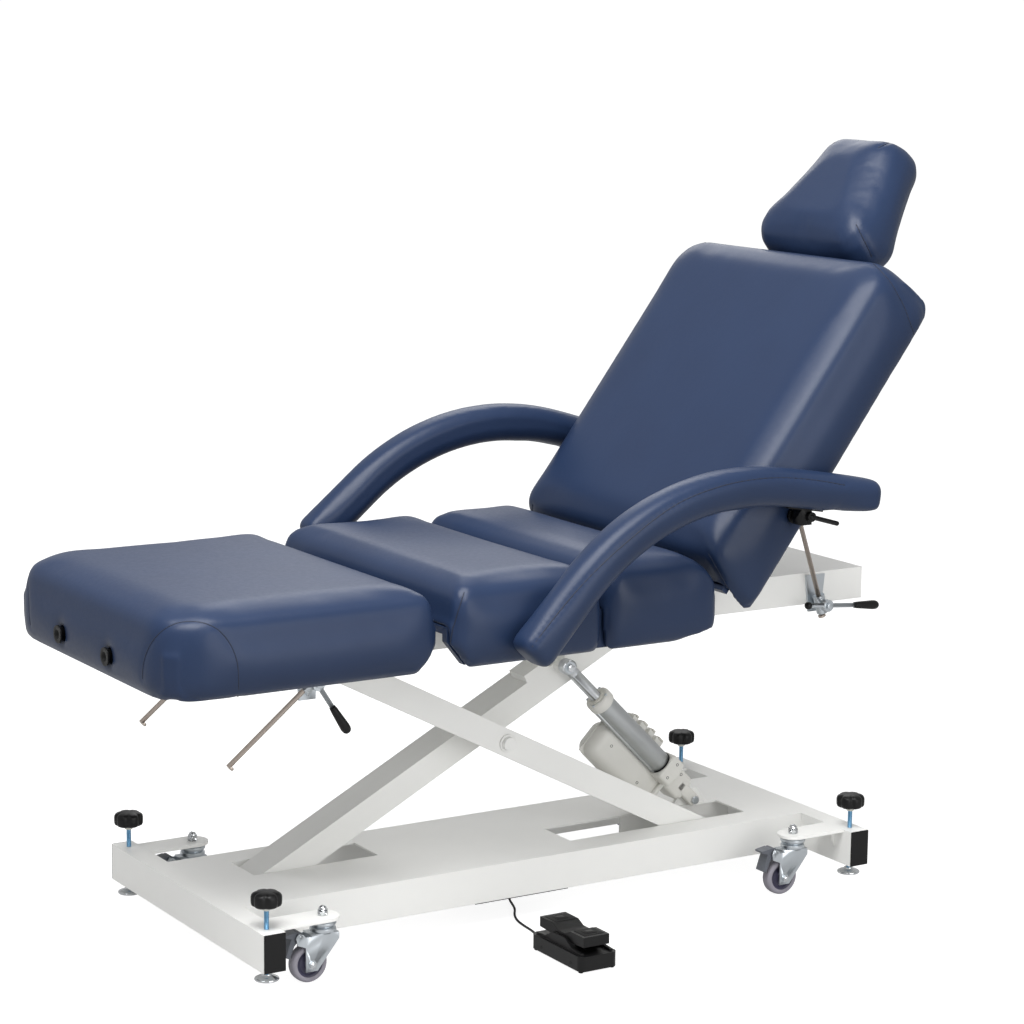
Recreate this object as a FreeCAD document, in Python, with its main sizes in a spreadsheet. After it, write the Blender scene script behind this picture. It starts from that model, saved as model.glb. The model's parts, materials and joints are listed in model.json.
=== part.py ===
import FreeCAD, Part
import math
import os
import re

import Sketcher

# Electric-lift facial bed: scissor base on casters, sectioned cushions, foot pedal.
# Millimetres. X runs from the foot end (-X) to the head end (+X), Z is up, and the
# origin is on the floor below the middle of the base.

V = FreeCAD.Vector

COMMON = {
    "overrun": 5,
    "running_gap": 0.05,
    "free_gap": 0.4,
    "steel_sheet": 5,
}

BASE = {
    "base_length": 1445,
    "base_width": 705,
    "floor_clear": 52,
    "crossbar_height": 76,
    "crossbar_width": 46,
    "tube_wall": 3,
    "cap_thickness": 3,
    "cap_plug": 12,
    "beam_width": 350,
    "beam_wall": 4,
    "slot_lead": 10.14,
    "front_slot_end": -280,
    "rear_slot_start": 122,
    "slot_tail": 87,
    "slot_width": 106,
    "slot_gap": 4,
    "base_top": "=floor_clear + crossbar_height",
    "front_slot_start": "=arm_foot_x - slot_lead",
    "rear_slot_end": "=roller_x + slot_tail",
    "crossbar_x": "=(base_length - crossbar_width) / 2",
    "beam_length": "=base_length - 2 * crossbar_width",
    "control_length": 225,
    "control_width": 150,
    "control_height": 58,
    "control_x": -150,
    "control_drop": 3,
    "gland_radius": 5,
    "gland_length": 7,
    "lead_x": 10,
    "lead_y": -36,
}

CASTER = {
    "caster_x": 566,
    "caster_inset": 61.5,
    "caster_y": "=base_width / 2 - caster_inset",
    "plate_thickness": 6,
    "plate_width": 66,
    "gusset_reach": 30,
    "gusset_drop": 40,
    "stem_radius": 6,
    "nut_radius": 11,
    "nut_height": 11,
    "nut_dome": 8.5,
    "wheel_radius": 38,
    "wheel_width": 25,
    "hub_radius": 27,
    "hub_width": 21,
    "axle_radius": 5,
    "caster_trail": 33,
    "fork_gap": 3,
    "fork_sheet": 3,
    "fork_crown": 94,
    "head_radius": 25,
    "head_lip": 20,
    "brake_width": 26,
    "brake_pivot_x": -58,
    "brake_pivot_z": 98,
    "brake_pin": 3,
    "fork_half": "=wheel_width / 2 + fork_gap",
    "hub_boss_share": 0.45,
    "hub_dish_share": 0.5,
    "hub_slope_share": 0.8,
    "hub_rim_share": 0.85,
    "tread_side_share": 0.9,
    "shoulder_share": 0.97,
    "shoulder_half_share": 0.42,
    "flat_half_share": 0.28,
}

LEVEL = {
    "level_inset": 36.5,
    "level_y": "=base_width / 2 - level_inset",
    "screw_radius": 5,
    "foot_bottom": 28,
    "foot_radius": 24,
    "foot_height": 13,
    "knob_bottom": 172,
    "knob_radius": 30,
    "knob_height": 20,
    "knob_hub": 15,
    "knob_neck": 7,
    "knob_dome": 4,
    "scallop_radius": 7,
    "collar_radius": 9,
    "collar_height": 5,
    "foot_sole_share": 0.96,
    "foot_rim_share": 0.2,
    "foot_shoulder_share": 0.94,
    "foot_shoulder_rise_share": 0.42,
    "foot_dome_share": 0.7,
    "foot_dome_rise_share": 0.72,
    "foot_neck_share": 0.4,
}

SCISSOR = {
    "pivot_x": -34,
    "base_pivot_z": 88,
    "arm_half": 587.8,
    "arm_tilt": 27.4,
    "pivot_z": "=base_pivot_z + arm_half * sin(arm_tilt * 1deg)",
    "top_pin_z": "=2 * pivot_z - base_pivot_z",
    "arm_foot_x": "=pivot_x - arm_half * cos(arm_tilt * 1deg)",
    "roller_x": "=pivot_x + arm_half * cos(arm_tilt * 1deg)",
    "arm_width": 84,
    "arm_depth": 56,
    "arm_wall": 3,
    "arm_end_radius": 27,
    "arm_a_y": 10,
    "arm_b_y": -17,
    "arm_pin_radius": 9,
    "bolt_radius": 10,
    "bolt_cap_radius": 14,
    "bolt_cap_height": 9,
    "bolt_washer_radius": 19,
    "bolt_washer_height": 3,
    "roller_radius": 17,
    "roller_width": 24,
    "roller_offset": 4,
    "lug_thickness": 8,
    "lug_length": 54,
    "rail_flange": 30,
    "rail_sheet": 5,
    "base_rail_lead": 157.86,
    "base_rail_start": "=roller_x - base_rail_lead",
    "base_rail_length": 290,
    "top_rail_lead": 147.86,
    "top_rail_start": "=roller_x - top_rail_lead",
    "top_rail_length": 250,
    "saddle_x": 145,
    "saddle_length": 62,
    "saddle_width": 60,
    "saddle_height": 17,
}

ACTUATOR = {
    "actuator_y": -6,
    "actuator_foot_x": 503,
    "actuator_foot_z": 143,
    "eye_along": 232,
    "eye_above": 18.3,
    "eye_x": "=pivot_x + eye_along * cos(arm_tilt * 1deg) - eye_above * sin(arm_tilt * 1deg)",
    "eye_z": "=pivot_z + eye_along * sin(arm_tilt * 1deg) + eye_above * cos(arm_tilt * 1deg)",
    "actuator_length": "=sqrt((eye_x - actuator_foot_x) ^ 2 + (eye_z - actuator_foot_z) ^ 2)",
    "actuator_tilt": "=atan2(eye_z - actuator_foot_z; eye_x - actuator_foot_x) / 1deg",
    "actuator_pin": 8,
    "actuator_boss": 14.5,
    "actuator_eye_width": 20,
    "gear_length": 104,
    "gear_width": 56,
    "gear_depth": 60,
    "gear_start": 34,
    "tube_y": -20,
    "gear_collar_radius": 30,
    "gear_collar_length": 40,
    "actuator_tube_radius": 25,
    "actuator_tube_start": 138,
    "actuator_tube_end": 352,
    "cap_radius": 29,
    "cap_length": 22,
    "guide_radius": 19,
    "guide_length": 4,
    "rod_radius": 13,
    "rod_start": 220,
    "rod_neck": 24,
    "eye_radius": 17,
    "motor_radius": 33,
    "motor_length": 140,
    "motor_start": 100,
    "motor_flange": 14,
    "motor_offset": 64,
    "motor_shift": 30,
    "bracket_thickness": 9,
    "bracket_width": 60,
    "bracket_base": 44,
    "bracket_y": 9.5,
}

TOP = {
    "front_overhang": 44.14,
    "top_front": "=arm_foot_x - front_overhang",
    "top_back": 824,
    "top_width": 350,
    "top_pin_rise": 35,
    "top_bottom": "=top_pin_z - top_pin_rise",
    "top_height": 69,
    "top_wall": 4,
    "top_level": "=top_bottom + top_height",
    "hinge_radius": 9,
    "hinge_pin": 5,
    "hinge_rise": 10,
    "hinge_y": 95,
    "hinge_leaf": 15,
    "hinge_knuckle": 40,
    "hinge_sheet": 4,
    "leg_hinge_x": -338,
    "back_hinge_x": 321,
    "hinge_z": "=top_level + hinge_rise",
}

LOCKS = {
    "lock_y": 200,
    "lock_radius": 13,
    "lock_length": 52,
    "lock_stud": 5,
    "lock_rod": 5,
    "lock_plate": 5,
    "leg_lock_x": -540,
    "leg_lock_drop": 27,
    "leg_lock_z": "=top_bottom - leg_lock_drop",
    "leg_rod_tilt": 38.9,
    "leg_rod_tail": 233,
    "leg_rod_reach": 129,
    "leg_plate_width": 54,
    "leg_plate_drop": 40,
    "back_lock_radius": 380,
    "back_lock_angle": -11.4,
    "back_lock_length": 40,
    "back_pin_drop": 30,
    "back_rod_tail": 30,
    "back_plate_width": 50,
    "lever_radius": 5,
    "lever_hub": 8,
    "lever_gap": 1,
    "grip_radius": 10,
    "grip_length": 52,
    "leg_lever_length": 62,
    "leg_lever_tilt": -57,
    "back_lever_length": 78,
    "back_lever_tilt": -5,
    "back_lever_tail": 50,
    "fork_plate": 4,
    "fork_space": 9,
    "fork_length": 34,
}

SECTIONS = {
    "cushion_half": 381,
    "tray_half": 345,
    "board": 18,
    "plywood": 15,
    "skirt_gap": 4,
    "cushion_edge": 46,
    "foot_corner": 105,
    "plain_corner": 30,
    "cushion_lift": 3,
    "cushion_bottom": "=top_bottom + cushion_lift",
    "leg_start": -932,
    "leg_end": -353,
    "leg_height": 167,
    "leg_top": "=cushion_bottom + leg_height",
    "leg_wall": 30,
    "thigh_start": -324,
    "thigh_end": 24,
    "thigh_height": 173,
    "thigh_top": "=cushion_bottom + thigh_height",
    "seat_start": 31,
    "seat_end": 303,
    "seat_height": 175,
    "seat_top": "=cushion_bottom + seat_height",
    "thigh_heel": 0,
    "seat_heel": 34,
    "back_tilt": 53,
    "back_start": 6,
    "back_end": 794,
    "back_front": 101,
    "back_skirt": -72,
    "back_slant": 40,
    "top_corner": 85,
    "back_wall": 32,
    "outlet_y": 113,
    "outlet_rise": 46,
    "outlet_z": "=cushion_bottom + outlet_rise",
    "outlet_bore": 9.6,
    "outlet_tube": 14,
    "outlet_flange": 18,
    "outlet_lip": 4,
    "peg_along": "=arm_pivot_reach * cos(back_tilt * 1deg) + arm_pivot_rise * sin(back_tilt * 1deg)",
    "peg_below": "=arm_pivot_reach * sin(back_tilt * 1deg) - arm_pivot_rise * cos(back_tilt * 1deg)",
    "tray_gap": 0.5,
}

HEAD = {
    "head_start": 800,
    "head_end": 1108,
    "head_half": 210,
    "head_half_top": 112,
    "head_front": 84,
    "head_rear": -66,
    "head_edge": 52,
    "head_corner": 55,
    "post_radius": 9.5,
    "post_depth": 70,
    "post_insert": 80,
    "post_level": 30,
    "post_bore": "=post_radius + running_gap",
}

ARMREST = {
    "arm_pivot_reach": 156,
    "arm_pivot_rise": 163,
    "arm_pivot_x": "=back_hinge_x + arm_pivot_reach",
    "arm_pivot_z": "=hinge_z + arm_pivot_rise",
    "arm_inner": 389,
    "arm_pad_width": 72,
    "arm_pad_height": 68,
    "arm_crown_back": 167.5,
    "arm_crown_rise": 78,
    "arm_arc_radius": 526,
    "arm_arc_x": "=arm_pivot_x - arm_crown_back",
    "arm_arc_z": "=arm_pivot_z + arm_crown_rise - arm_arc_radius",
    "arm_low_angle": 137,
    "arm_high_angle": 80.5,
    "arm_low_run": 165,
    "arm_high_run": 245,
    "arm_corner": 20,
    "far_arm_tilt": 8,
    "peg_radius": 8,
    "peg_depth": 40,
    "socket_radius": 16,
    "socket_lip": 4,
    "arm_bracket_width": 30,
    "arm_bracket_length": 90,
    "arm_bracket_start": 40,
    "arm_post": 26,
    "arm_post_rise": 33,
    "arm_stud": 5,
    "arm_end_round": 12,
    "arm_lever_length": 70,
    "arm_lever_radius": 6,
    "arm_lever_tilt": -16,
}

PEDAL = {
    "pedal_x": -79,
    "pedal_y": -433,
    "pedal_length": 184,
    "pedal_width": 88,
    "pedal_feet": 4,
    "pedal_foot_radius": 6,
    "pedal_foot_inset": 16,
    "pedal_height": 34,
    "pedal_corner": 14,
    "deck_length": 164,
    "deck_width": 74,
    "deck_height": 20,
    "rocker_length": 160,
    "rocker_width": 60,
    "rocker_height": 24,
    "rocker_axle_z": 50,
    "rocker_axle": 4,
    "rocker_gap": 5,
    "pad_length": 40,
    "pad_inset": 8,
    "pad_depth": 1,
    "corner_share": 0.9,
}

LEAD = {
    "lead_radius": 2.5,
    "lead_bend_share": 0.45,
}

GROUPS = (COMMON, BASE, CASTER, LEVEL, SCISSOR, ACTUATOR, TOP, LOCKS, SECTIONS, HEAD, ARMREST,
          PEDAL, LEAD)

# Outlines that follow their piece, as shares of the sizes named beside them.
FORK_LEG_SHARES = ((0.80, 1.0), (0.80, 0.88), (-0.62, 0.26), (-1.40, 0.26), (-1.40, 0.78),
                   (-1.92, 0.86), (-2.02, 1.0), (-1.84, 1.11), (-1.52, 1.06), (-1.36, 1.0))
BRAKE_SHARES = ((-1.72, 1.09), (-1.95, 1.13), (-2.72, 1.09), (-2.72, 1.05), (-2.26, 1.00),
                (-2.62, 0.62), (-2.36, 0.58), (-2.06, 0.84), (-1.72, 0.96))
CUSHION_SHARES = ((0.0, 0.26), (0.08, 0.06), (0.26, 0.0), (0.68, 0.0), (0.84, 0.10), (0.93, 0.33),
                  (0.983, 0.85), (1.0, 1.7))
PILLOW_SHARES = ((0.0, 0.85), (0.08, 0.32), (0.28, 0.03), (0.5, 0.0), (0.72, 0.12), (0.88, 0.40),
                 (0.97, 0.85), (1.0, 1.4))
HEEL_SHARE = 0.68
DECK_SHARES = ((-0.5, 0.0), (0.5, 0.0), (0.5, 0.45), (0.30, 0.55), (0.14, 1.25), (-0.14, 1.25),
               (-0.30, 0.55), (-0.5, 0.45))
ROCKER_SHARES = ((-0.5, 0.15), (-0.17, 0.05), (0.0, -0.05), (0.17, 0.05), (0.5, 0.15), (0.5, 1.0),
                 (0.20, 1.0), (0.08, 0.62), (-0.08, 0.62), (-0.20, 1.0), (-0.5, 1.0))

# The lead's points, chosen by hand along its way from the control box to the pedal.
LEAD_ROUTE = (
    (10, -36, 42),
    (10, -36, 29.4),
    (8.4, -40.7, 17.4),
    (5.3, -49.4, 8.2),
    (1.3, -60.7, 3.2),
    (-6, -81.5, 3.2),
    (-19, -114, 3.2),
    (-41, -146, 3.2),
    (-56, -181, 3.2),
    (-61.5, -217, 3.2),
    (-64, -252, 3.2),
    (-73, -282, 5),
    (-81, -312, 13),
    (-81, -341, 13),
)

doc = FreeCAD.newDocument("FacialBed")
sheet = doc.addObject("Spreadsheet::Sheet", "Sizes")
row = 0
for sizes in GROUPS:
    for alias, value in sizes.items():
        row += 1
        sheet.set(f"A{row}", alias)
        sheet.set(f"B{row}", str(value))
        sheet.setAlias(f"B{row}", alias)
doc.recompute()

ALIASES = re.compile(r"\b(" + "|".join(alias for sizes in GROUPS for alias in sizes) + r")\b")
TURNS = {
    "X": FreeCAD.Rotation(V(0, 1, 0), 90),
    "Y": FreeCAD.Rotation(V(1, 0, 0), -90),
    "Z": FreeCAD.Rotation(),
}
NODES = {}


def size(alias):
    """Value of a sheet cell."""
    return float(sheet.get(alias))


def linked(text):
    """Expression with every size name pointed at the sheet."""
    return ALIASES.sub(r"Sizes.\1", text)


def bind(item, **links):
    """Tie properties to expressions of sheet sizes."""
    for name, text in links.items():
        item.setExpression(name, linked(text))
    return item


def place(item, corner):
    """Tie an object's position to three expressions."""
    for axis, text in zip("xyz", corner):
        item.setExpression(f"Placement.Base.{axis}", linked(text))
    return item


def tilted(item, x, z, degrees, y=0.0):
    """Turn an object up from +X by an angle about an axis along Y through x, z."""
    turn = FreeCAD.Rotation(V(0, -1, 0), degrees)
    item.Placement = FreeCAD.Placement(V(x, y, z), turn)
    return item


def block(name, extent, corner):
    """Box from its corner."""
    item = doc.addObject("Part::Box", name)
    bind(item, Length=extent[0], Width=extent[1], Height=extent[2])
    return place(item, corner)


def bar(name, radius, length, start, axis="Z"):
    """Round bar from its start point along an axis."""
    item = doc.addObject("Part::Cylinder", name)
    item.Placement = FreeCAD.Placement(V(), TURNS[axis])
    bind(item, Radius=radius, Height=length)
    return place(item, start)


def ball(name, radius, centre):
    """Sphere about a centre."""
    item = doc.addObject("Part::Sphere", name)
    bind(item, Radius=radius)
    return place(item, centre)


def fuse(name, *items):
    """One solid from several that meet."""
    item = doc.addObject("Part::MultiFuse", name)
    item.Shapes = list(items)
    item.Refine = True
    return item


def cut(name, base, *tools):
    """Base with the tools taken away."""
    item = doc.addObject("Part::Cut", name)
    item.Base = base
    item.Tool = tools[0] if len(tools) == 1 else fuse(name + "Tools", *tools)
    item.Refine = True
    return item


def group(name, *items):
    """Separate solids that belong to one piece list entry."""
    item = doc.addObject("Part::Compound", name)
    item.Links = list(items)
    return item


def moved(name, source, corner, spin=0.0):
    """Copy of an object at another place, turned about Z."""
    item = group(name, source)
    item.Placement = FreeCAD.Placement(V(), FreeCAD.Rotation(V(0, 0, 1), spin))
    return place(item, corner)


def mirrored(name, source):
    """Copy on the other side of the bed's middle plane."""
    item = doc.addObject("Part::Mirroring", name)
    item.Source = source
    item.Normal = V(0, 1, 0)
    return item


def node(name, item):
    """Register a finished sub-part under its file name."""
    item.Label = name
    NODES[name] = item
    return item


def outline(body, plane, points):
    """Closed sketch on one of the body's planes, each corner tied to the sheet."""
    sketch = body.newObject("Sketcher::SketchObject", body.Name + "Outline")
    support = [face for face in body.Origin.OriginFeatures if face.Role == plane][0]
    sketch.AttachmentSupport = [(support, "")]
    sketch.MapMode = "FlatFace"
    count = len(points)
    corners = [V(math.cos(math.tau * i / count), math.sin(math.tau * i / count), 0) for i in range(count)]
    for i in range(count):
        sketch.addGeometry(Part.LineSegment(corners[i], corners[(i + 1) % count]), False)
    for i in range(count):
        sketch.addConstraint(Sketcher.Constraint("Coincident", i, 2, (i + 1) % count, 1))
    for i, point in enumerate(points):
        for kind, text, start in zip(("DistanceX", "DistanceY"), point, corners[i]):
            number = sketch.addConstraint(Sketcher.Constraint(kind, -1, 1, i, 1, start))
            sketch.setExpression(f"Constraints[{number}]", linked(text))
    return sketch


def plate(name, plane, points, thickness):
    """Flat plate: an outline padded evenly to both sides of its plane."""
    body = doc.addObject("PartDesign::Body", name)
    sketch = outline(body, plane, points)
    pad = body.newObject("PartDesign::Pad", name + "Pad")
    pad.Profile = sketch
    pad.SideType = "Symmetric"
    bind(pad, Length=thickness)
    return body


def turned(name, points):
    """Piece turned about Z from a half outline of radius and height."""
    body = doc.addObject("PartDesign::Body", name)
    sketch = outline(body, "XZ_Plane", points)
    spin = body.newObject("PartDesign::Revolution", name + "Turn")
    spin.Profile = sketch
    spin.ReferenceAxis = (sketch, ["V_Axis"])
    return body


def rounded(name, base, radius, pick):
    """Fillet on the edges that pick accepts, from their middle point and direction."""
    doc.recompute()
    edges = []
    for number, edge in enumerate(base.Shape.Edges, 1):
        middle = edge.valueAt((edge.FirstParameter + edge.LastParameter) / 2)
        along = edge.tangentAt((edge.FirstParameter + edge.LastParameter) / 2)
        if pick(middle, along):
            edges.append((number, radius, radius))
    item = doc.addObject("Part::Fillet", name)
    item.Base = base
    item.Edges = edges
    return item


def shares(table, across, up, rise="0"):
    """Outline points from a table of shares of two sizes."""
    return [(f"{x} * {across}", f"{y} * {up} + {rise}") for x, y in table]


# Base frame
def base_frame():
    """Slotted beam with its pivot lugs and roller rails, crossbars, caps and control box."""
    half = "beam_length / 2"
    shell = block("BeamShell", ("beam_length", "beam_width", "crossbar_height"),
                  (f"-{half}", "-beam_width / 2", "floor_clear"))
    hollow = block("BeamHollow",
                   ("beam_length + 2 * overrun", "beam_width - 2 * beam_wall", "crossbar_height"),
                   (f"-{half} - overrun", "-beam_width / 2 + beam_wall", "floor_clear - beam_wall"))
    front_slot = block("FrontSlot", ("front_slot_end - front_slot_start", "slot_width", "crossbar_height"),
                       ("front_slot_start", "slot_gap", "floor_clear + overrun"))
    rear_slot = block("RearSlot", ("rear_slot_end - rear_slot_start", "slot_width", "crossbar_height"),
                      ("rear_slot_start", "slot_gap / 2 - slot_width", "floor_clear + overrun"))
    channel = cut("BeamChannel", shell, hollow, front_slot, rear_slot)
    pieces = [channel]
    lug_span = ("lug_length", "lug_thickness", "base_top - beam_wall - base_pivot_z + arm_end_radius")
    foot = "arm_foot_x"
    lug_z = "base_pivot_z - arm_end_radius"
    pieces.append(block("NearLug", lug_span,
                        (f"{foot} - lug_length / 2", "arm_a_y - lug_thickness - roller_offset",
                                              lug_z)))
    pieces.append(block("FarLug", lug_span, (f"{foot} - lug_length / 2", "slot_gap + slot_width", lug_z)))
    track_z = "base_pivot_z - roller_radius - free_gap - rail_sheet"
    near = "arm_b_y - arm_width - rail_flange"
    far = "arm_b_y + roller_offset"
    track = ("base_rail_length", "rail_flange", "rail_sheet")
    web = ("base_rail_length", "rail_sheet", "base_top - beam_wall - (" + track_z + ")")
    pieces.append(block("NearTrack", track, ("base_rail_start", near + " - roller_offset", track_z)))
    pieces.append(block("NearWeb", web, ("base_rail_start", near + " - roller_offset - rail_sheet", track_z)))
    pieces.append(block("FarTrack", track, ("base_rail_start", far, track_z)))
    pieces.append(block("FarWeb", web, ("base_rail_start", far + " + rail_flange", track_z)))
    pin_hole = bar("BasePinHole", "arm_pin_radius + running_gap", "beam_width / 2 + 2 * overrun",
                   (foot, "arm_a_y - beam_width / 8", "base_pivot_z"), "Y")
    welded = fuse("BeamWelded", *pieces)
    node("base_beam", cut("BaseBeam", welded, pin_hole))

    bars = []
    caps = []
    for end, sign in (("Front", "-"), ("Rear", "")):
        tube = block(end + "Tube", ("crossbar_width", "base_width - 2 * cap_thickness", "crossbar_height"),
                     (f"{sign}crossbar_x - crossbar_width / 2", "cap_thickness - base_width / 2",
                      "floor_clear"))
        bore = block(end + "Bore",
                     ("crossbar_width - 2 * tube_wall", "base_width", "crossbar_height - 2 * tube_wall"),
                     (f"{sign}crossbar_x - crossbar_width / 2 + tube_wall", "-base_width / 2",
                      "floor_clear + tube_wall"))
        holes = [bar(f"{end}Hole{side}", "screw_radius + running_gap", "crossbar_height + 2 * overrun",
                     (f"{sign}crossbar_x", f"{side}level_y", "floor_clear - overrun")) for side in ("-", "+")]
        bars.append(cut(end + "Crossbar", tube, bore, *holes))
        for side, edge in (("-", "-base_width / 2"), ("+", "base_width / 2 - cap_thickness")):
            face = block(f"{end}Cap{side}", ("crossbar_width", "cap_thickness", "crossbar_height"),
                         (f"{sign}crossbar_x - crossbar_width / 2", edge, "floor_clear"))
            inward = "cap_thickness" if side == "-" else "-cap_plug"
            plug = block(f"{end}Plug{side}", ("crossbar_width - 2 * tube_wall", "cap_plug",
                                              "crossbar_height - 2 * tube_wall"),
                         (f"{sign}crossbar_x - crossbar_width / 2 + tube_wall", f"{edge} + {inward}",
                          "floor_clear + tube_wall"))
            caps.append(fuse(f"{end}EndCap{side}", face, plug))
    node("crossbars", group("Crossbars", *bars))
    node("crossbar_caps", group("CrossbarCaps", *caps))

    case = block("ControlCase", ("control_length", "control_width", "control_height"),
                 ("control_x", "beam_wall - beam_width / 2", "floor_clear - control_drop"))
    gland = bar("LeadGland", "gland_radius", "gland_length",
                ("lead_x", "lead_y", "floor_clear - control_drop - gland_length"))
    node("control_box", fuse("ControlBox", case, gland))

    foot = plate("BracketPlate", "XZ_Plane",
                 (("actuator_foot_x - bracket_base", "base_top"),
                  ("actuator_foot_x + bracket_base", "base_top"),
                  ("actuator_foot_x + bracket_width / 3", "actuator_foot_z + bracket_width / 3"),
                  ("actuator_foot_x - bracket_width / 3", "actuator_foot_z + bracket_width / 3")),
                 "bracket_thickness")
    place(foot, ("0", "bracket_y", "0"))
    pin = bar("BracketPin", "actuator_pin", "actuator_eye_width + bracket_thickness + overrun",
              ("actuator_foot_x", "bracket_y - actuator_eye_width - bracket_thickness / 2 - overrun / 2",
               "actuator_foot_z"), "Y")
    node("actuator_bracket", fuse("ActuatorBracket", foot, pin))


# Casters and levelling screws
CORNERS = (("1", "-", "-"), ("2", "-", "+"), ("3", "+", "-"), ("4", "+", "+"))


def caster_mounts():
    """Plates on the crossbars, with gussets, stems and acorn nuts."""
    plates = []
    bolts = []
    inner = "(crossbar_x - crossbar_width / 2)"
    plate_z = "base_top - plate_thickness"
    for number, end, side in CORNERS:
        start = f"-{inner}" if end == "-" else "caster_x"
        flat = block("PlateFlat" + number, (f"{inner} - caster_x", "plate_width", "plate_thickness"),
                     (start, f"{side}caster_y - plate_width / 2", plate_z))
        nose = bar("PlateNose" + number, "plate_width / 2", "plate_thickness",
                   (f"{end}caster_x", f"{side}caster_y", plate_z))
        web = plate("Gusset" + number, "XZ_Plane",
                    ((f"{end}{inner}", plate_z), (f"{end}({inner} - gusset_reach)", plate_z),
                     (f"{end}({inner} - gusset_reach / 4)", f"{plate_z} - gusset_drop / 3"),
                     (f"{end}{inner}", f"{plate_z} - gusset_drop")), "steel_sheet")
        place(web, ("0", f"{side}caster_y", "0"))
        hole = bar("PlateHole" + number, "stem_radius", "plate_thickness + 2 * overrun",
                   (f"{end}caster_x", f"{side}caster_y", f"{plate_z} - overrun"))
        plates.append(cut("CasterPlate" + number, fuse("PlateWelded" + number, flat, nose, web), hole))
        stem = bar("Stem" + number, "stem_radius", "base_top + nut_height - fork_crown + free_gap",
                   (f"{end}caster_x", f"{side}caster_y", "fork_crown - free_gap"))
        rivet = bar("Rivet" + number, "nut_radius", "nut_height / 2",
                    (f"{end}caster_x", f"{side}caster_y", "fork_crown - free_gap - nut_height / 2"))
        nut = doc.addObject("Part::Prism", "Nut" + number)
        nut.Polygon = 6
        bind(nut, Circumradius="nut_radius", Height="nut_height")
        place(nut, (f"{end}caster_x", f"{side}caster_y", "base_top"))
        dome = ball("NutDome" + number, "nut_dome",
                    (f"{end}caster_x", f"{side}caster_y", "base_top + nut_height"))
        bolts.append(fuse("CasterBolt" + number, stem, rivet, nut, dome))
    node("caster_plates", group("CasterPlates", *plates))
    node("caster_bolts", group("CasterBolts", *bolts))


def casters():
    """One caster about its swivel axis, copied to the four corners."""
    side_y = "(fork_half + fork_sheet / 2)"
    legs = []
    for side in ("-", "+"):
        leg = plate("ForkLeg" + side, "XZ_Plane", shares(FORK_LEG_SHARES, "caster_trail", "fork_crown"),
                    "fork_sheet")
        legs.append(place(leg, ("0", f"{side}{side_y}", "0")))
    crown = block("ForkCrown", ("caster_trail + head_radius", "2 * fork_half + 2 * fork_sheet", "fork_sheet"),
                  ("-caster_trail", "-fork_half - fork_sheet", "fork_crown"))
    top = "base_top - plate_thickness - free_gap"
    head = turned("ForkHead", (("stem_radius + running_gap", "fork_crown"), ("head_lip", "fork_crown"),
                               ("head_lip", "fork_crown + head_lip / 2"), ("head_radius", f"{top} - overrun"),
                               ("head_radius", top), ("stem_radius + running_gap", top)))
    axle = bar("Axle", "axle_radius", "2 * fork_half + 2 * fork_sheet + overrun",
               ("-caster_trail", "-fork_half - fork_sheet - overrun / 2", "wheel_radius"), "Y")
    pin = bar("BrakePin", "brake_pin", "2 * fork_half + 2 * fork_sheet + overrun / 2",
              ("brake_pivot_x", "-fork_half - fork_sheet - overrun / 4", "brake_pivot_z"), "Y")
    bore = bar("SwivelBore", "stem_radius + running_gap", "base_top", ("0", "0", "fork_crown - overrun"))
    fork = cut("Fork", fuse("ForkWelded", crown, head, axle, pin, *legs), bore)

    hub = turned("Hub", (("axle_radius + running_gap", "-hub_width / 2"),
                         ("hub_radius * hub_boss_share", "-hub_width / 2"),
                         ("hub_radius * hub_dish_share", "-hub_width / 3"),
                         ("hub_radius * hub_slope_share", "-hub_width / 3"),
                         ("hub_radius * hub_rim_share", "-hub_width / 2"), ("hub_radius", "-hub_width / 2"),
                         ("hub_radius", "hub_width / 2"), ("hub_radius * hub_rim_share", "hub_width / 2"),
                         ("hub_radius * hub_slope_share", "hub_width / 3"),
                         ("hub_radius * hub_dish_share", "hub_width / 3"),
                         ("hub_radius * hub_boss_share", "hub_width / 2"),
                         ("axle_radius + running_gap", "hub_width / 2")))
    tyre = turned("Tyre", (("hub_radius", "-wheel_width / 2"),
                           ("wheel_radius * tread_side_share", "-wheel_width / 2"),
                           ("wheel_radius * shoulder_share", "-wheel_width * shoulder_half_share"),
                           ("wheel_radius", "-wheel_width * flat_half_share"),
                           ("wheel_radius", "wheel_width * flat_half_share"),
                           ("wheel_radius * shoulder_share", "wheel_width * shoulder_half_share"),
                           ("wheel_radius * tread_side_share", "wheel_width / 2"),
                           ("hub_radius", "wheel_width / 2")))
    wheel = group("Wheel", hub, tyre)
    wheel.Placement = FreeCAD.Placement(V(), TURNS["Y"])
    place(wheel, ("-caster_trail", "0", "wheel_radius"))

    lever = plate("BrakePlate", "XZ_Plane", shares(BRAKE_SHARES, "caster_trail", "fork_crown"), "brake_width")
    eye = bar("BrakeEye", "brake_pin + overrun", "brake_width", ("brake_pivot_x", "-brake_width / 2",
                                                               "brake_pivot_z"), "Y")
    hole = bar("BrakeHole", "brake_pin + running_gap", "brake_width + 2 * overrun",
               ("brake_pivot_x", "-brake_width / 2 - overrun", "brake_pivot_z"), "Y")
    brake = cut("Brake", fuse("BrakeBody", lever, eye), hole)

    for number, end, side in CORNERS:
        spot = (f"{end}caster_x", f"{side}caster_y", "0")
        node("caster_fork_" + number, moved("CasterFork" + number, fork, spot))
        node("caster_wheel_" + number, moved("CasterWheel" + number, wheel, spot))
        node("caster_brake_" + number, moved("CasterBrake" + number, brake, spot))


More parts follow.
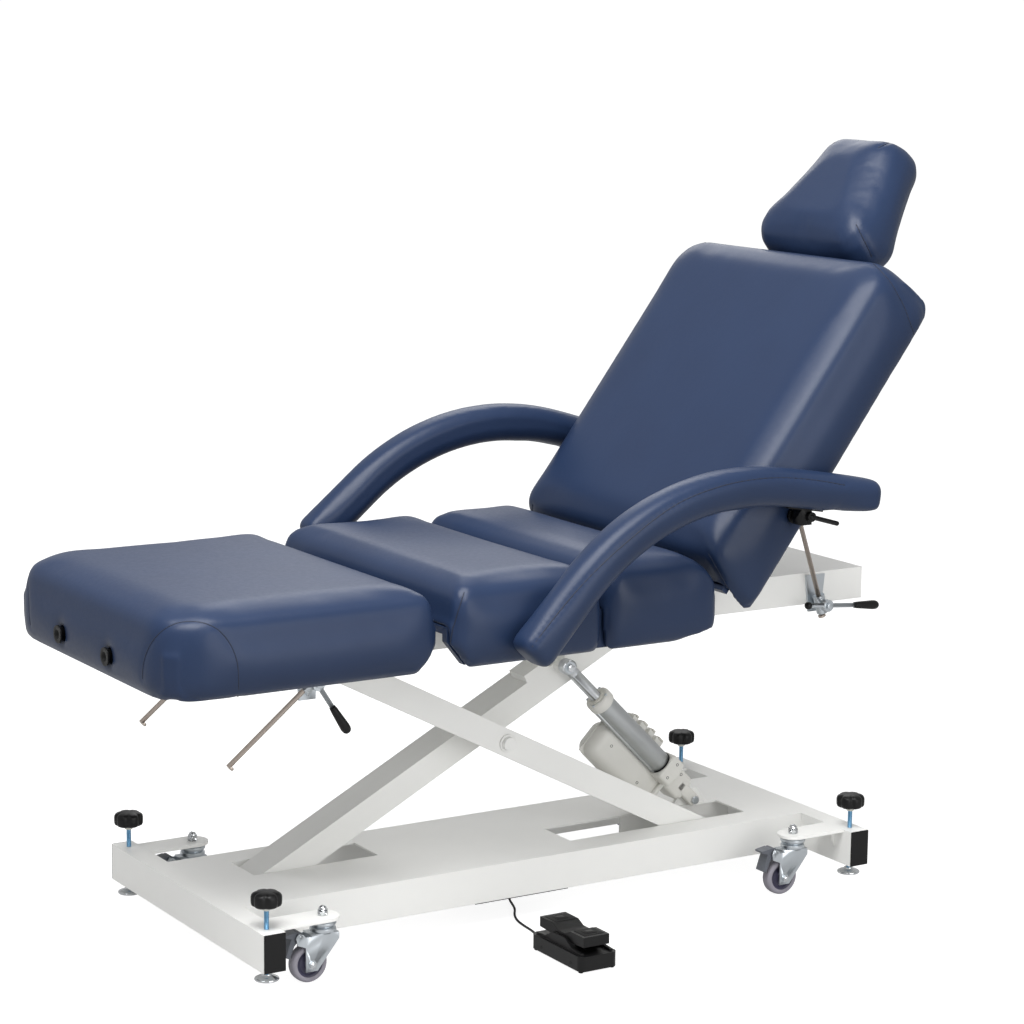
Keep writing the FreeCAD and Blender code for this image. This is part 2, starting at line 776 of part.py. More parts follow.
def levelling_screws():
    """Star knob, collar and threaded stem on a domed foot, copied to the four corners."""
    star_z = "knob_bottom + knob_neck"
    star = bar("Star", "knob_radius", "knob_height", ("0", "0", star_z))
    cuts = []
    for i in range(6):
        turn = f"{60 * i} * 1deg"
        cuts.append(bar(f"Scallop{i}", "scallop_radius", "knob_height + 2 * overrun",
                        (f"(knob_radius + scallop_radius / 3) * cos({turn})",
                         f"(knob_radius + scallop_radius / 3) * sin({turn})", f"{star_z} - overrun")))
    neck = bar("KnobNeck", "knob_hub", "knob_neck + overrun", ("0", "0", "knob_bottom"))
    crown = bar("KnobCrown", "knob_hub", "knob_dome", ("0", "0", f"{star_z} + knob_height"))
    knob_hole = bar("KnobHole", "screw_radius", "knob_neck + knob_height",
                    ("0", "0", "knob_bottom - overrun"))
    knob = cut("Knob", fuse("KnobBody", cut("KnobStar", star, *cuts), neck, crown), knob_hole)
    collar_solid = bar("CollarBody", "collar_radius", "collar_height",
                       ("0", "0", "knob_bottom - collar_height"))
    collar_hole = bar("CollarHole", "screw_radius", "collar_height + 2 * overrun",
                      ("0", "0", "knob_bottom - collar_height - overrun"))
    collar = cut("Collar", collar_solid, collar_hole)
    stem = bar("Screw", "screw_radius",
               "knob_bottom + knob_neck + knob_height - overrun - foot_bottom - foot_height",
               ("0", "0", "foot_bottom + foot_height"))
    foot = turned("Foot", (("0", "foot_bottom"), ("foot_radius * foot_sole_share", "foot_bottom"),
                           ("foot_radius", "foot_bottom + foot_height * foot_rim_share"),
                           ("foot_radius * foot_shoulder_share",
                            "foot_bottom + foot_height * foot_shoulder_rise_share"),
                           ("foot_radius * foot_dome_share",
                            "foot_bottom + foot_height * foot_dome_rise_share"),
                           ("foot_radius * foot_neck_share", "foot_bottom + foot_height"),
                           ("0", "foot_bottom + foot_height")))
    screw = group("LevellingScrew", fuse("StemAndFoot", stem, foot), collar, knob)
    for number, end, side in CORNERS:
        node("levelling_screw_" + number,
             moved("LevellingScrew" + number, screw, (f"{end}crossbar_x", f"{side}level_y", "0")))


# Scissor lift
def arm_tube(name, near_y, holes):
    """Open-ended tube along X about its centre pivot, with cheeks rounded at both ends."""
    straight = block(name + "Straight", ("2 * arm_half", "arm_width", "arm_depth"),
                     ("-arm_half", near_y, "-arm_depth / 2"))
    ends = [bar(name + "End" + sign, "arm_depth / 2", "arm_width", (f"{sign}arm_half", near_y, "0"), "Y")
            for sign in ("-", "+")]
    hollow = block(name + "Hollow", ("3 * arm_half", "arm_width - 2 * arm_wall", "arm_depth - 2 * arm_wall"),
                   ("-1.5 * arm_half", f"{near_y} + arm_wall", "arm_wall - arm_depth / 2"))
    hole = bar(name + "BoltHole", holes, "arm_width + 2 * overrun", ("0", f"{near_y} - overrun", "0"), "Y")
    return cut(name + "Tube", fuse(name + "Outer", straight, *ends), hollow, hole)


def rollers(name, near_y):
    """Pair of rollers outside an arm's sliding end, about the axle."""
    pair = []
    for side, start in (("Near", f"{near_y} - roller_offset - roller_width"),
                        ("Far", f"{near_y} + arm_width + roller_offset")):
        wheel = bar(name + side, "roller_radius", "roller_width", ("arm_half", start, "0"), "Y")
        hole = bar(name + side + "Hole", "arm_pin_radius + running_gap", "roller_width + 2 * overrun",
                   ("arm_half", f"{start} - overrun", "0"), "Y")
        pair.append(cut(name + side + "Roller", wheel, hole))
    return pair


def scissor():
    """Two crossed arms with their pins, rollers and centre bolt."""
    x = size("pivot_x")
    z = size("pivot_z")
    tilt = size("arm_tilt")
    reach = "arm_width + 2 * roller_offset + 2 * roller_width + overrun"
    near_a = "arm_a_y"
    tube = arm_tube("ArmA", near_a, "bolt_radius")
    low_pin = bar("ArmALowPin", "arm_pin_radius", "slot_width + 4 * lug_thickness",
                  ("-arm_half", f"{near_a} - roller_offset - 2 * lug_thickness", "0"), "Y")
    axle = bar("ArmAAxle", "arm_pin_radius", reach,
               ("arm_half", f"{near_a} - roller_offset - roller_width - overrun / 2", "0"), "Y")
    boss = bar("ArmABoss", "eye_radius", "arm_a_y - tube_y - actuator_eye_width / 2 - free_gap",
               ("eye_along", "tube_y + actuator_eye_width / 2 + free_gap", "eye_above"), "Y")
    saddle = block("ArmASaddle", ("saddle_length", "saddle_width", "saddle_height"),
                   ("saddle_x", f"{near_a}", "arm_depth / 2"))
    arm_a = fuse("ArmAWelded", tube, low_pin, axle, boss, saddle)
    node("arm_a", tilted(arm_a, x, z, tilt))
    node("arm_a_roller", tilted(group("ArmARollers", *rollers("ArmARoll", near_a)), x, z, tilt))

    near_b = "arm_b_y - arm_width"
    tube = arm_tube("ArmB", near_b, "bolt_radius + running_gap")
    top_pin = bar("ArmBTopPin", "arm_pin_radius",
                  "arm_width + 2 * roller_offset + 2 * lug_thickness + overrun",
                  ("-arm_half", f"{near_b} - roller_offset - lug_thickness - overrun / 2", "0"), "Y")
    axle = bar("ArmBAxle", "arm_pin_radius", reach,
               ("arm_half", f"{near_b} - roller_offset - roller_width - overrun / 2", "0"), "Y")
    arm_b = fuse("ArmBWelded", tube, top_pin, axle)
    node("arm_b", tilted(arm_b, x, z, -tilt))
    node("arm_b_roller", tilted(group("ArmBRollers", *rollers("ArmBRoll", near_b)), x, z, -tilt))

    shank = bar("BoltShank", "bolt_radius", "2 * arm_width + arm_a_y - arm_b_y + 2 * bolt_cap_height",
                ("0", f"{near_b} - bolt_cap_height", "0"), "Y")
    spacer = bar("BoltSpacer", "bolt_washer_radius", "arm_a_y - arm_b_y - free_gap",
                 ("0", "arm_b_y + free_gap", "0"), "Y")
    cap = bar("BoltCap", "bolt_cap_radius", "bolt_cap_height",
              ("0", f"{near_b} - bolt_cap_height - bolt_washer_height - free_gap", "0"), "Y")
    washer = bar("BoltWasher", "bolt_washer_radius", "bolt_washer_height",
                 ("0", f"{near_b} - bolt_washer_height - free_gap", "0"), "Y")
    nut = bar("BoltNut", "bolt_cap_radius", "bolt_cap_height", ("0", "arm_a_y + arm_width", "0"), "Y")
    bolt = fuse("CentreBolt", shank, spacer, cap, washer, nut)
    node("centre_bolt", tilted(bolt, x, z, tilt))


# Actuator
def actuator():
    """Gear housing, motor, tube and rod along X from the lower pin, then tilted into place."""
    x = size("actuator_foot_x")
    z = size("actuator_foot_z")
    tilt = size("actuator_tilt")
    near = "actuator_y - actuator_eye_width / 2"
    boss = bar("GearBoss", "actuator_boss", "actuator_eye_width", ("0", near, "0"), "Y")
    neck = block("GearNeck", ("gear_start + overrun", "actuator_eye_width", "2 * actuator_boss"),
                 ("0", near, "-actuator_boss"))
    case = block("GearCase", ("gear_length", "gear_width", "gear_depth"),
                 ("gear_start", near, "-gear_depth / 2"))
    side = block("GearSide", ("motor_flange", "gear_width", "motor_offset + motor_radius"),
                 ("motor_start - motor_flange", near, "0"))
    hole = bar("GearHole", "actuator_pin + running_gap", "actuator_eye_width + 2 * overrun",
               ("0", f"{near} - overrun", "0"), "Y")
    collar = bar("GearCollar", "gear_collar_radius", "gear_collar_length",
                 ("actuator_tube_start - gear_collar_length", "tube_y", "0"), "X")
    body = fuse("GearBody", boss, neck, case, side, collar)
    node("actuator_housing", tilted(cut("ActuatorHousing", body, hole), x, z, tilt))

    motor = bar("MotorCan", "motor_radius", "motor_length",
                ("motor_start", "actuator_y + motor_shift", "motor_offset"), "X")
    node("actuator_motor", tilted(group("ActuatorMotor", motor), x, z, tilt))

    tube = bar("OuterTube", "actuator_tube_radius", "actuator_tube_end - actuator_tube_start",
               ("actuator_tube_start", "tube_y", "0"), "X")
    cap = bar("TubeCap", "cap_radius", "cap_length", ("actuator_tube_end", "tube_y", "0"), "X")
    ring = bar("GuideRing", "guide_radius", "guide_length",
               ("actuator_tube_end + cap_length", "tube_y", "0"), "X")
    bore = bar("TubeBore", "rod_radius + running_gap", "actuator_length",
               ("actuator_tube_start - overrun", "tube_y", "0"), "X")
    node("actuator_tube", tilted(cut("ActuatorTube", fuse("TubeBody", tube, cap, ring), bore), x, z, tilt))

    eye_y = "tube_y - actuator_eye_width / 2"
    rod = bar("RodBar", "rod_radius", "actuator_length - rod_neck - rod_start",
              ("rod_start", "tube_y", "0"), "X")
    neck = block("RodNeck", ("rod_neck", "actuator_eye_width", "2 * rod_radius - overrun"),
                 ("actuator_length - rod_neck", eye_y, "overrun / 2 - rod_radius"))
    eye = bar("RodEye", "eye_radius", "actuator_eye_width", ("actuator_length", eye_y, "0"), "Y")
    node("actuator_rod", tilted(fuse("ActuatorRod", rod, neck, eye), x, z, tilt))


# Top frame
def top_frame():
    """Channel beam with the pivot lugs of arm B and the rails of arm A's rollers."""
    span = "top_back - top_front"
    shell = block("TopShell", (span, "top_width", "top_height"),
                  ("top_front", "-top_width / 2", "top_bottom"))
    hollow = block("TopHollow", (f"{span} - 2 * top_wall", "top_width - 2 * top_wall", "top_height"),
                   ("top_front + top_wall", "top_wall - top_width / 2", "top_bottom - top_wall"))
    pieces = [cut("TopChannel", shell, hollow)]
    pin_x = "arm_foot_x"
    pin_z = "top_pin_z"
    lug = ("lug_length", "lug_thickness", f"top_level - top_wall - {pin_z} + arm_end_radius")
    near = "arm_b_y - arm_width - roller_offset - lug_thickness"
    pieces.append(block("TopNearLug", lug, (f"{pin_x} - lug_length / 2", near, f"{pin_z} - arm_end_radius")))
    pieces.append(block("TopFarLug", lug, (f"{pin_x} - lug_length / 2", "arm_b_y + roller_offset",
                                           f"{pin_z} - arm_end_radius")))
    flange_z = f"({pin_z} - roller_radius - free_gap - rail_sheet)"
    track = ("top_rail_length", "rail_flange", "rail_sheet")
    web = ("top_rail_length", "rail_sheet", f"top_level - top_wall - {flange_z}")
    near = "arm_a_y - rail_flange - roller_offset / 2"
    far = "arm_a_y + arm_width + roller_offset / 2"
    pieces.append(block("TopNearTrack", track, ("top_rail_start", near, flange_z)))
    pieces.append(block("TopNearWeb", web, ("top_rail_start", f"{near} - rail_sheet", flange_z)))
    pieces.append(block("TopFarTrack", track, ("top_rail_start", far, flange_z)))
    pieces.append(block("TopFarWeb", web, ("top_rail_start", f"{far} + rail_flange", flange_z)))
    hole = bar("TopPinHole", "arm_pin_radius + running_gap", "top_width / 2",
               (pin_x, "arm_b_y - arm_width - top_width / 8", pin_z), "Y")
    node("top_beam", cut("TopBeam", fuse("TopWelded", *pieces), hole))


def hinge(name, x, side):
    """Frame half of a section hinge: a foot, a middle knuckle and the pin."""
    knuckle = bar(name + "Knuckle", "hinge_radius", "hinge_knuckle",
                  (x, f"{side}hinge_y - hinge_knuckle / 2", "hinge_z"), "Y")
    foot = block(name + "Foot", ("2 * hinge_radius", "hinge_knuckle", "hinge_rise"),
                 (f"{x} - hinge_radius", f"{side}hinge_y - hinge_knuckle / 2", "top_level"))
    pin = bar(name + "Pin", "hinge_pin", "2 * hinge_knuckle",
              (x, f"{side}hinge_y - hinge_knuckle", "hinge_z"), "Y")
    return fuse(name + "Fixed", knuckle, foot, pin)


def leaves(name, x, side, toward):
    """Section half of a hinge: two outer knuckles with tabs toward the section."""
    parts = []
    width = "hinge_knuckle / 2 - 2 * free_gap"
    for end, start in (("Low", f"{side}hinge_y - hinge_knuckle + free_gap"),
                       ("High", f"{side}hinge_y + hinge_knuckle / 2 + free_gap")):
        knuckle = bar(name + end + "Knuckle", "hinge_radius", width, (x, start, "hinge_z"), "Y")
        tab = block(name + end + "Tab", ("hinge_leaf", width, "2 * hinge_sheet"),
                    (f"{x} - hinge_leaf" if toward == "-" else x, start, "hinge_z - hinge_sheet"))
        hole = bar(name + end + "Hole", "hinge_pin + running_gap", "hinge_knuckle",
                   (x, f"{start} - overrun", "hinge_z"),
                   "Y")
        parts.append(cut(name + end + "Leaf", fuse(name + end + "Body", knuckle, tab), hole))
    return parts


def lock_plate(name, x, z, width, drop):
    """Plate on the beam's side with the bearing hole of a lock."""
    side_y = "top_width / 2 + lock_plate / 2"
    flat = plate(name + "Flat", "XZ_Plane",
                 ((f"{x} - {width} / 2", "top_level - overrun"),
                  (f"{x} + {width} / 2", "top_level - overrun"),
                  (f"{x} + {width} / 3", f"{z} - {drop}"), (f"{x} - {width} / 3", f"{z} - {drop}")),
                  "lock_plate")
    place(flat, ("0", f"-({side_y})", "0"))
    hole = bar(name + "Hole", "lock_stud + running_gap", "lock_plate + 2 * overrun",
               (x, f"-({side_y}) - lock_plate / 2 - overrun", z), "Y")
    return cut(name + "Near", flat, hole)


def lock_housing(name, length):
    """Lock body along X about its pivot on the near side, with the lever's stud."""
    barrel = bar(name + "Barrel", "lock_radius", length, (f"-{length} / 2", "-lock_y", "0"), "X")
    stud = bar(name + "Stud", "lock_stud", "lock_y - top_width / 2 - free_gap", ("0", "-lock_y", "0"), "Y")
    post = bar(name + "Post", "lock_stud", "lock_radius + 2 * lever_hub + lever_gap",
               ("0", "-lock_y - lock_radius - 2 * lever_hub - lever_gap", "0"), "Y")
    bore = bar(name + "Bore", "lock_rod + running_gap", f"{length} + 2 * overrun",
               (f"-{length} / 2 - overrun", "-lock_y", "0"), "X")
    return cut(name + "Body", fuse(name + "Solid", barrel, stud, post), bore)


def lever(name, length, tail):
    """Release lever on a lock's outer stud: hub, bar, grip and, if any, a tail."""
    mid = "-lock_y - lock_radius - lever_gap - lever_hub"
    hub = bar(name + "Hub", "lever_hub + lever_radius", "2 * lever_hub - lever_gap",
              ("0", f"{mid} - lever_hub + lever_gap / 2", "0"), "Y")
    arm = bar(name + "Arm", "lever_radius", length, ("0", mid, "0"), "X")
    parts = [hub, arm]
    if tail:
        back = bar(name + "Tail", "lever_radius", tail, (f"-{tail}", mid, "0"), "X")
        parts.append(back)
    hole = bar(name + "Hole", "lock_stud + running_gap", "4 * lever_hub",
               ("0", f"{mid} - 2 * lever_hub", "0"), "Y")
    metal = cut(name + "Metal", fuse(name + "Frame", *parts), hole)
    grip = bar(name + "Grip", "grip_radius", "grip_length", (length, mid, "0"), "X")
    tip = ball(name + "Tip", "grip_radius", (f"{length} + grip_length", mid, "0"))
    return group(name, metal, fuse(name + "Handle", grip, tip))


def locks():
    """Brackets, hinges, lock bodies, rods and levers of the leg and back sections."""
    tilt = size("back_tilt")
    pin_angle = math.degrees(math.asin(size("back_pin_drop") / size("back_lock_radius")))
    low = math.radians(size("back_lock_angle"))
    high = math.radians(tilt - pin_angle)
    radius = size("back_lock_radius")
    lock = V(math.cos(low), 0, math.sin(low)) * radius + V(size("back_hinge_x"), 0, size("hinge_z"))
    pin = V(math.cos(high), 0, math.sin(high)) * radius + V(size("back_hinge_x"), 0, size("hinge_z"))
    along = pin - lock
    rod_tilt = math.degrees(math.atan2(along.z, along.x))

    back_x = "(back_hinge_x + back_lock_radius * cos(back_lock_angle * 1deg))"
    back_z = "(hinge_z + back_lock_radius * sin(back_lock_angle * 1deg))"
    leg_plate = lock_plate("LegLockPlate", "leg_lock_x", "leg_lock_z", "leg_plate_width", "leg_plate_drop")
    back_plate = lock_plate("BackLockPlate", back_x, back_z, "back_plate_width", "leg_plate_drop / 2")
    fixed = [leg_plate, mirrored("LegLockPlateFar", leg_plate), back_plate,
             mirrored("BackLockPlateFar", back_plate)]
    for side in ("-", "+"):
        fixed.append(hinge("LegHinge" + side, "leg_hinge_x", side))
        fixed.append(hinge("BackHinge" + side, "back_hinge_x", side))
    node("frame_brackets", group("FrameBrackets", *fixed))

    leg_lock = tilted(lock_housing("LegLock", "lock_length"), size("leg_lock_x"), size("leg_lock_z"),
                      size("leg_rod_tilt"))
    node("leg_lock_housings", group("LegLocks", leg_lock, mirrored("LegLockFar", leg_lock)))
    node("leg_rods",
         rod_pair("LegRod", "leg_rod_tail", "leg_rod_reach", size("leg_lock_x"), size("leg_lock_z"),
                              size("leg_rod_tilt")))
    node("leg_lever",
         tilted(lever("LegLever", "leg_lever_length", ""), size("leg_lock_x"), size("leg_lock_z"),
                             size("leg_lever_tilt")))

    back_lock = tilted(lock_housing("BackLock", "back_lock_length"), lock.x, lock.z, rod_tilt)
    node("back_lock_housings", group("BackLocks", back_lock, mirrored("BackLockFar", back_lock)))
    shaft = doc.addObject("Part::Cylinder", "BackRodBar")
    shaft.Placement = FreeCAD.Placement(V(0, -size("lock_y"), 0), TURNS["X"])
    bind(shaft, Radius="lock_rod")
    shaft.Height = along.Length + size("back_rod_tail")
    eye = bar("BackRodEye", "fork_space", "2 * lock_rod", ("0", "-lock_y - lock_rod", "0"), "Y")
    bore = bar("BackRodHole", "lock_stud + running_gap", "4 * lock_rod",
               ("0", "-lock_y - 2 * lock_rod", "0"), "Y")
    back_rod = tilted(cut("BackRod", fuse("BackRodBody", shaft, eye), bore), pin.x, pin.z, rod_tilt + 180)
    node("back_rods", group("BackRods", back_rod, mirrored("BackRodFar", back_rod)))
    node("back_lever", tilted(lever("BackLever", "back_lever_length", "back_lever_tail"), lock.x, lock.z,
                              size("back_lever_tilt")))


def rod_pair(name, tail, reach, x, z, tilt):
    """Pair of lock rods along X through a lock, each with a flat open eye."""
    shaft = bar(name + "Bar", "lock_rod", f"{tail} + {reach}", (f"-{tail}", "-lock_y", "0"), "X")
    eye = bar(name + "Eye", "fork_space", "2 * lock_rod", (reach, "-lock_y - lock_rod", "0"), "Y")
    near = tilted(fuse(name + "Near", shaft, eye), x, z, tilt)
    return group(name + "s", near, mirrored(name + "Far", near))


# Cushions
def soft_wire(name, corners, radii):
    """Closed wire through corner points with an arc of its own radius in each corner."""
    edges = []
    count = len(corners)
    starts = []
    ends = []
    for i in range(count):
        here = corners[i]
        before = (corners[i - 1] - here).normalize()
        after = (corners[(i + 1) % count] - here).normalize()
        half = before.getAngle(after) / 2
        run = radii[i] / math.tan(half)
        middle = (before + after).normalize()
        starts.append(here + before * run)
        ends.append(here + after * run)
        centre = here + middle * (radii[i] / math.sin(half))
        edges.append(Part.Arc(starts[i], centre - middle * radii[i], ends[i]).toShape())
    ring = []
    for i in range(count):
        ring.append(edges[i])
        ring.append(Part.LineSegment(ends[i], starts[(i + 1) % count]).toShape())
    item = doc.addObject("Part::Feature", name)
    item.Shape = Part.Wire(ring)
    return item


def cushion(name, spans, halves, levels, corners, edge, table, slant=0.0, heel=0.0):
    """Loft through rounded outlines: drawn in below, full at the side, soft over the top."""
    wires = []
    for number, (height, draw) in enumerate(table):
        inset = draw * edge
        z = levels[0] + height * (levels[1] - levels[0])
        x0 = spans[0] + slant * height + inset
        x1 = spans[1] - inset - heel * max(0.0, (height - HEEL_SHARE) / (1 - HEEL_SHARE))
        y0 = halves[0] - inset
        y1 = halves[1] - inset
        points = [V(x0, -y0, z), V(x1, -y1, z), V(x1, y1, z), V(x0, y0, z)]
        soft = [max(radius - inset / 2, radius / 3) for radius in corners]
        wires.append(soft_wire(f"{name}Ring{number}", points, (soft[0], soft[1], soft[1], soft[0])))
    item = doc.addObject("Part::Loft", name)
    item.Sections = wires
    item.Solid = True
    item.Ruled = True
    return item


def leg_section():
    """Leg tray with hinge leaves and rod forks, its cushion and two outlet grommets."""
    tray_start = "leg_start + leg_wall"
    plate_z = "top_level + tray_gap"
    sheet_block = block("LegPly", (f"leg_end - ({tray_start})", "2 * tray_half", "plywood"),
                        (tray_start, "-tray_half", plate_z))
    parts = [sheet_block]
    skirt = f"{plate_z} - cushion_bottom - skirt_gap"
    for side, y in (("Near", "-tray_half"), ("Far", "tray_half - board")):
        parts.append(block("LegBoard" + side, (f"leg_end - ({tray_start})", "board", skirt),
                           (tray_start, y, "cushion_bottom + skirt_gap")))
    parts.append(block("LegFootBoard", ("board", "2 * tray_half", skirt), (tray_start, "-tray_half",
                                                                          "cushion_bottom + skirt_gap")))
    holes = [bar("LegTrayHole" + side, "outlet_tube", "leg_wall + 2 * board + 2 * overrun",
                 ("leg_start - overrun", f"{side}outlet_y", "outlet_z"), "X") for side in ("-", "+")]
    tray = cut("LegTray", fuse("LegBoards", *parts), *holes)
    extras = []
    pin_x = "leg_lock_x + leg_rod_reach * cos(leg_rod_tilt * 1deg)"
    pin_z = "leg_lock_z + leg_rod_reach * sin(leg_rod_tilt * 1deg)"
    for side in ("-", "+"):
        for edge in ("-fork_space / 2 - fork_plate - lock_rod", "+fork_space / 2 + lock_rod"):
            extras.append(block("LegFork",
                                ("fork_length", "fork_plate", f"{plate_z} - ({pin_z}) + fork_space"),
                                (f"{pin_x} - fork_length / 2", f"{side}lock_y {edge}",
                                 f"{pin_z} - fork_space")))
        extras.extend(leaves("LegLeaf" + side, "leg_hinge_x", side, "-"))
    node("leg_panel", group("LegPanel", tray, *extras))

    pad = cushion("LegPad", (size("leg_start"), size("leg_end")),
                  (size("cushion_half"), size("cushion_half")),
                  (size("cushion_bottom"), size("leg_top")), (size("foot_corner"), size("plain_corner")),
                  size("cushion_edge"), CUSHION_SHARES)
    pocket = block("LegPocket", ("leg_end - leg_start", "2 * tray_half",
                                 f"{plate_z} + plywood - cushion_bottom + overrun"),
                   (tray_start, "-tray_half", "cushion_bottom - overrun"))
    bores = [bar("LegPadHole" + side, "outlet_tube", "leg_wall + 2 * overrun",
                 ("leg_start - overrun", f"{side}outlet_y", "outlet_z"), "X") for side in ("-", "+")]
    node("leg_cushion", cut("LegCushion", pad, pocket, *bores))

    outlets = []
    for side in ("-", "+"):
        sleeve = bar("LegSleeve" + side, "outlet_tube", "leg_wall + board",
                     ("leg_start", f"{side}outlet_y", "outlet_z"),
                     "X")
        lip = bar("LegLip" + side, "outlet_flange", "outlet_lip",
                  ("leg_start - outlet_lip", f"{side}outlet_y", "outlet_z"), "X")
        hole = bar("LegOutletBore" + side, "outlet_bore", "leg_wall + board",
                   ("leg_start - outlet_lip - overrun", f"{side}outlet_y", "outlet_z"), "X")
        outlets.append(cut("LegOutlet" + side, fuse("LegGrommet" + side, sleeve, lip), hole))
    node("leg_outlets", group("LegOutlets", *outlets))


def seat_section():
    """Fixed tray of the thigh and seat, and their two cushions."""
    span = "seat_end - thigh_start"
    parts = [block("SeatPly", (span, "2 * tray_half", "plywood"), ("thigh_start", "-tray_half", "top_level"))]
    for side, y in (("Near", "-tray_half"), ("Far", "tray_half - board")):
        parts.append(block("SeatBoard" + side, (span, "board", "top_level - cushion_bottom - skirt_gap"),
                           ("thigh_start", y, "cushion_bottom + skirt_gap")))
    node("seat_panel", fuse("SeatPanel", *parts))
    for name, key in (("thigh_cushion", "thigh"), ("seat_cushion", "seat")):
        pad = cushion(key + "Pad", (size(key + "_start"), size(key + "_end")),
                      (size("cushion_half"), size("cushion_half")),
                      (size("cushion_bottom"), size(key + "_top")),
                      (size("plain_corner"), size("plain_corner")), size("cushion_edge"), CUSHION_SHARES,
                      heel=size(key + "_heel"))
        pocket = block(key + "Pocket", (f"{span} + 2 * overrun", "2 * tray_half",
                                        "top_level + plywood - cushion_bottom + overrun"),
                       ("thigh_start - overrun", "-tray_half", "cushion_bottom - overrun"))
        node(name, cut(key + "Cushion", pad, pocket))


def back_section():
    """Back tray, cushion, headrest outlets and armrest sockets, modelled flat and tilted up."""
    x = size("back_hinge_x")
    z = size("hinge_z")
    tilt = size("back_tilt")
    plate_z = "tray_gap - hinge_rise"
    start = "hinge_leaf"
    end = "back_end - back_wall"
    parts = [block("BackPly", (f"{end} - {start}", "2 * tray_half", "plywood"),
                   (start, "-tray_half", plate_z))]
    skirt = f"{plate_z} - back_skirt - skirt_gap"
    for side, y in (("Near", "-tray_half"), ("Far", "tray_half - board")):
        parts.append(block("BackBoard" + side, (f"{end} - {start} - back_slant", "board", skirt),
                           (f"{start} + back_slant", y, "back_skirt + skirt_gap")))
    parts.append(block("BackTopBoard", ("board", "2 * tray_half", skirt), (f"{end} - board", "-tray_half",
                                                                          "back_skirt + skirt_gap")))
    post_holes = [bar("BackTrayHole" + side, "outlet_tube", "board + 2 * overrun",
                      (f"{end} - board - overrun", f"{side}outlet_y", "-post_level"),
                      "X") for side in ("-", "+")]
    peg_hole = bar("BackPegHole", "socket_radius - socket_lip", "2 * cushion_half",
                   ("peg_along", "-cushion_half", "-peg_below"), "Y")
    tray = cut("BackTray", fuse("BackBoards", *parts), peg_hole, *post_holes)
    extras = []
    pin_x = "sqrt(back_lock_radius ^ 2 - back_pin_drop ^ 2)"
    for side in ("-", "+"):
        forks = []
        for edge in ("-fork_space / 2 - fork_plate - lock_rod", "+fork_space / 2 + lock_rod"):
            forks.append(block("BackFork",
                               ("fork_length", "fork_plate", f"{plate_z} + back_pin_drop + fork_space"),
                               (f"{pin_x} - fork_length / 2", f"{side}lock_y {edge}",
                                "-back_pin_drop - fork_space")))
        stud = bar("BackForkPin", "lock_stud", "fork_space + 2 * fork_plate + 2 * lock_rod",
                   (pin_x, f"{side}lock_y - fork_space / 2 - fork_plate - lock_rod", "-back_pin_drop"), "Y")
        extras.append(fuse("BackForkSet" + side, stud, *forks))
    leaf_items = []
    for side in ("-", "+"):
        leaf_items.extend(leaves("BackLeaf" + side, "back_hinge_x", side, "+"))
    shifted = group("BackLeaves", *leaf_items)
    shifted.Placement = FreeCAD.Placement(V(-x, 0, -z), FreeCAD.Rotation())
    node("back_panel", tilted(group("BackPanel", tray, shifted, *extras), x, z, tilt))

    pad = cushion("BackPad", (size("back_start"), size("back_end")),
                  (size("cushion_half"), size("cushion_half")),
                  (size("back_skirt"), size("back_front")), (size("plain_corner"), size("top_corner")),
                  size("cushion_edge"), CUSHION_SHARES, size("back_slant"))
    pocket = block("BackPocket", (f"{end} + back_slant", "2 * tray_half",
                                  f"{plate_z} + plywood - back_skirt + overrun"),
                   ("-back_slant", "-tray_half", "back_skirt - overrun"))
    side_hole = bar("BackSideHole", "socket_radius - socket_lip", "3 * cushion_half",
                    ("peg_along", "-1.5 * cushion_half", "-peg_below"), "Y")
    top_holes = [bar("BackTopHole" + side, "outlet_tube", "back_wall + 2 * overrun",
                     (end, f"{side}outlet_y", "-post_level"), "X") for side in ("-", "+")]
    node("back_cushion", tilted(cut("BackCushion", pad, pocket, side_hole, *top_holes), x, z, tilt))

    fittings = []
    for side in ("-", "+"):
        sleeve = bar("BackSleeve" + side, "outlet_tube", "back_wall + board",
                     (f"{end} - board", f"{side}outlet_y", "-post_level"), "X")
        lip = bar("BackLip" + side, "outlet_flange", "outlet_lip",
                  ("back_end", f"{side}outlet_y", "-post_level"), "X")
        hole = bar("BackOutletBore" + side, "post_bore", "2 * back_wall + 2 * board",
                   (f"{end} - board - overrun", f"{side}outlet_y", "-post_level"), "X")
        fittings.append(cut("BackOutlet" + side, fuse("BackGrommet" + side, sleeve, lip), hole))
        inner = "-cushion_half" if side == "-" else "tray_half - board"
        tube = bar("PegTube" + side, "socket_radius - socket_lip", "cushion_half - tray_half + board",
                   ("peg_along", inner, "-peg_below"), "Y")
        face = "-cushion_half - socket_lip" if side == "-" else "cushion_half"
        rim = bar("PegRim" + side, "socket_radius", "socket_lip", ("peg_along", face, "-peg_below"), "Y")
        bore = bar("PegBore" + side, "peg_radius + running_gap", "2 * (cushion_half - tray_half) + 2 * board",
                   ("peg_along", f"{side}cushion_half - cushion_half + tray_half - board", "-peg_below"), "Y")
        fittings.append(cut("PegSocket" + side, fuse("PegBush" + side, tube, rim), bore))
    node("back_sockets", tilted(group("BackSockets", *fittings), x, z, tilt))

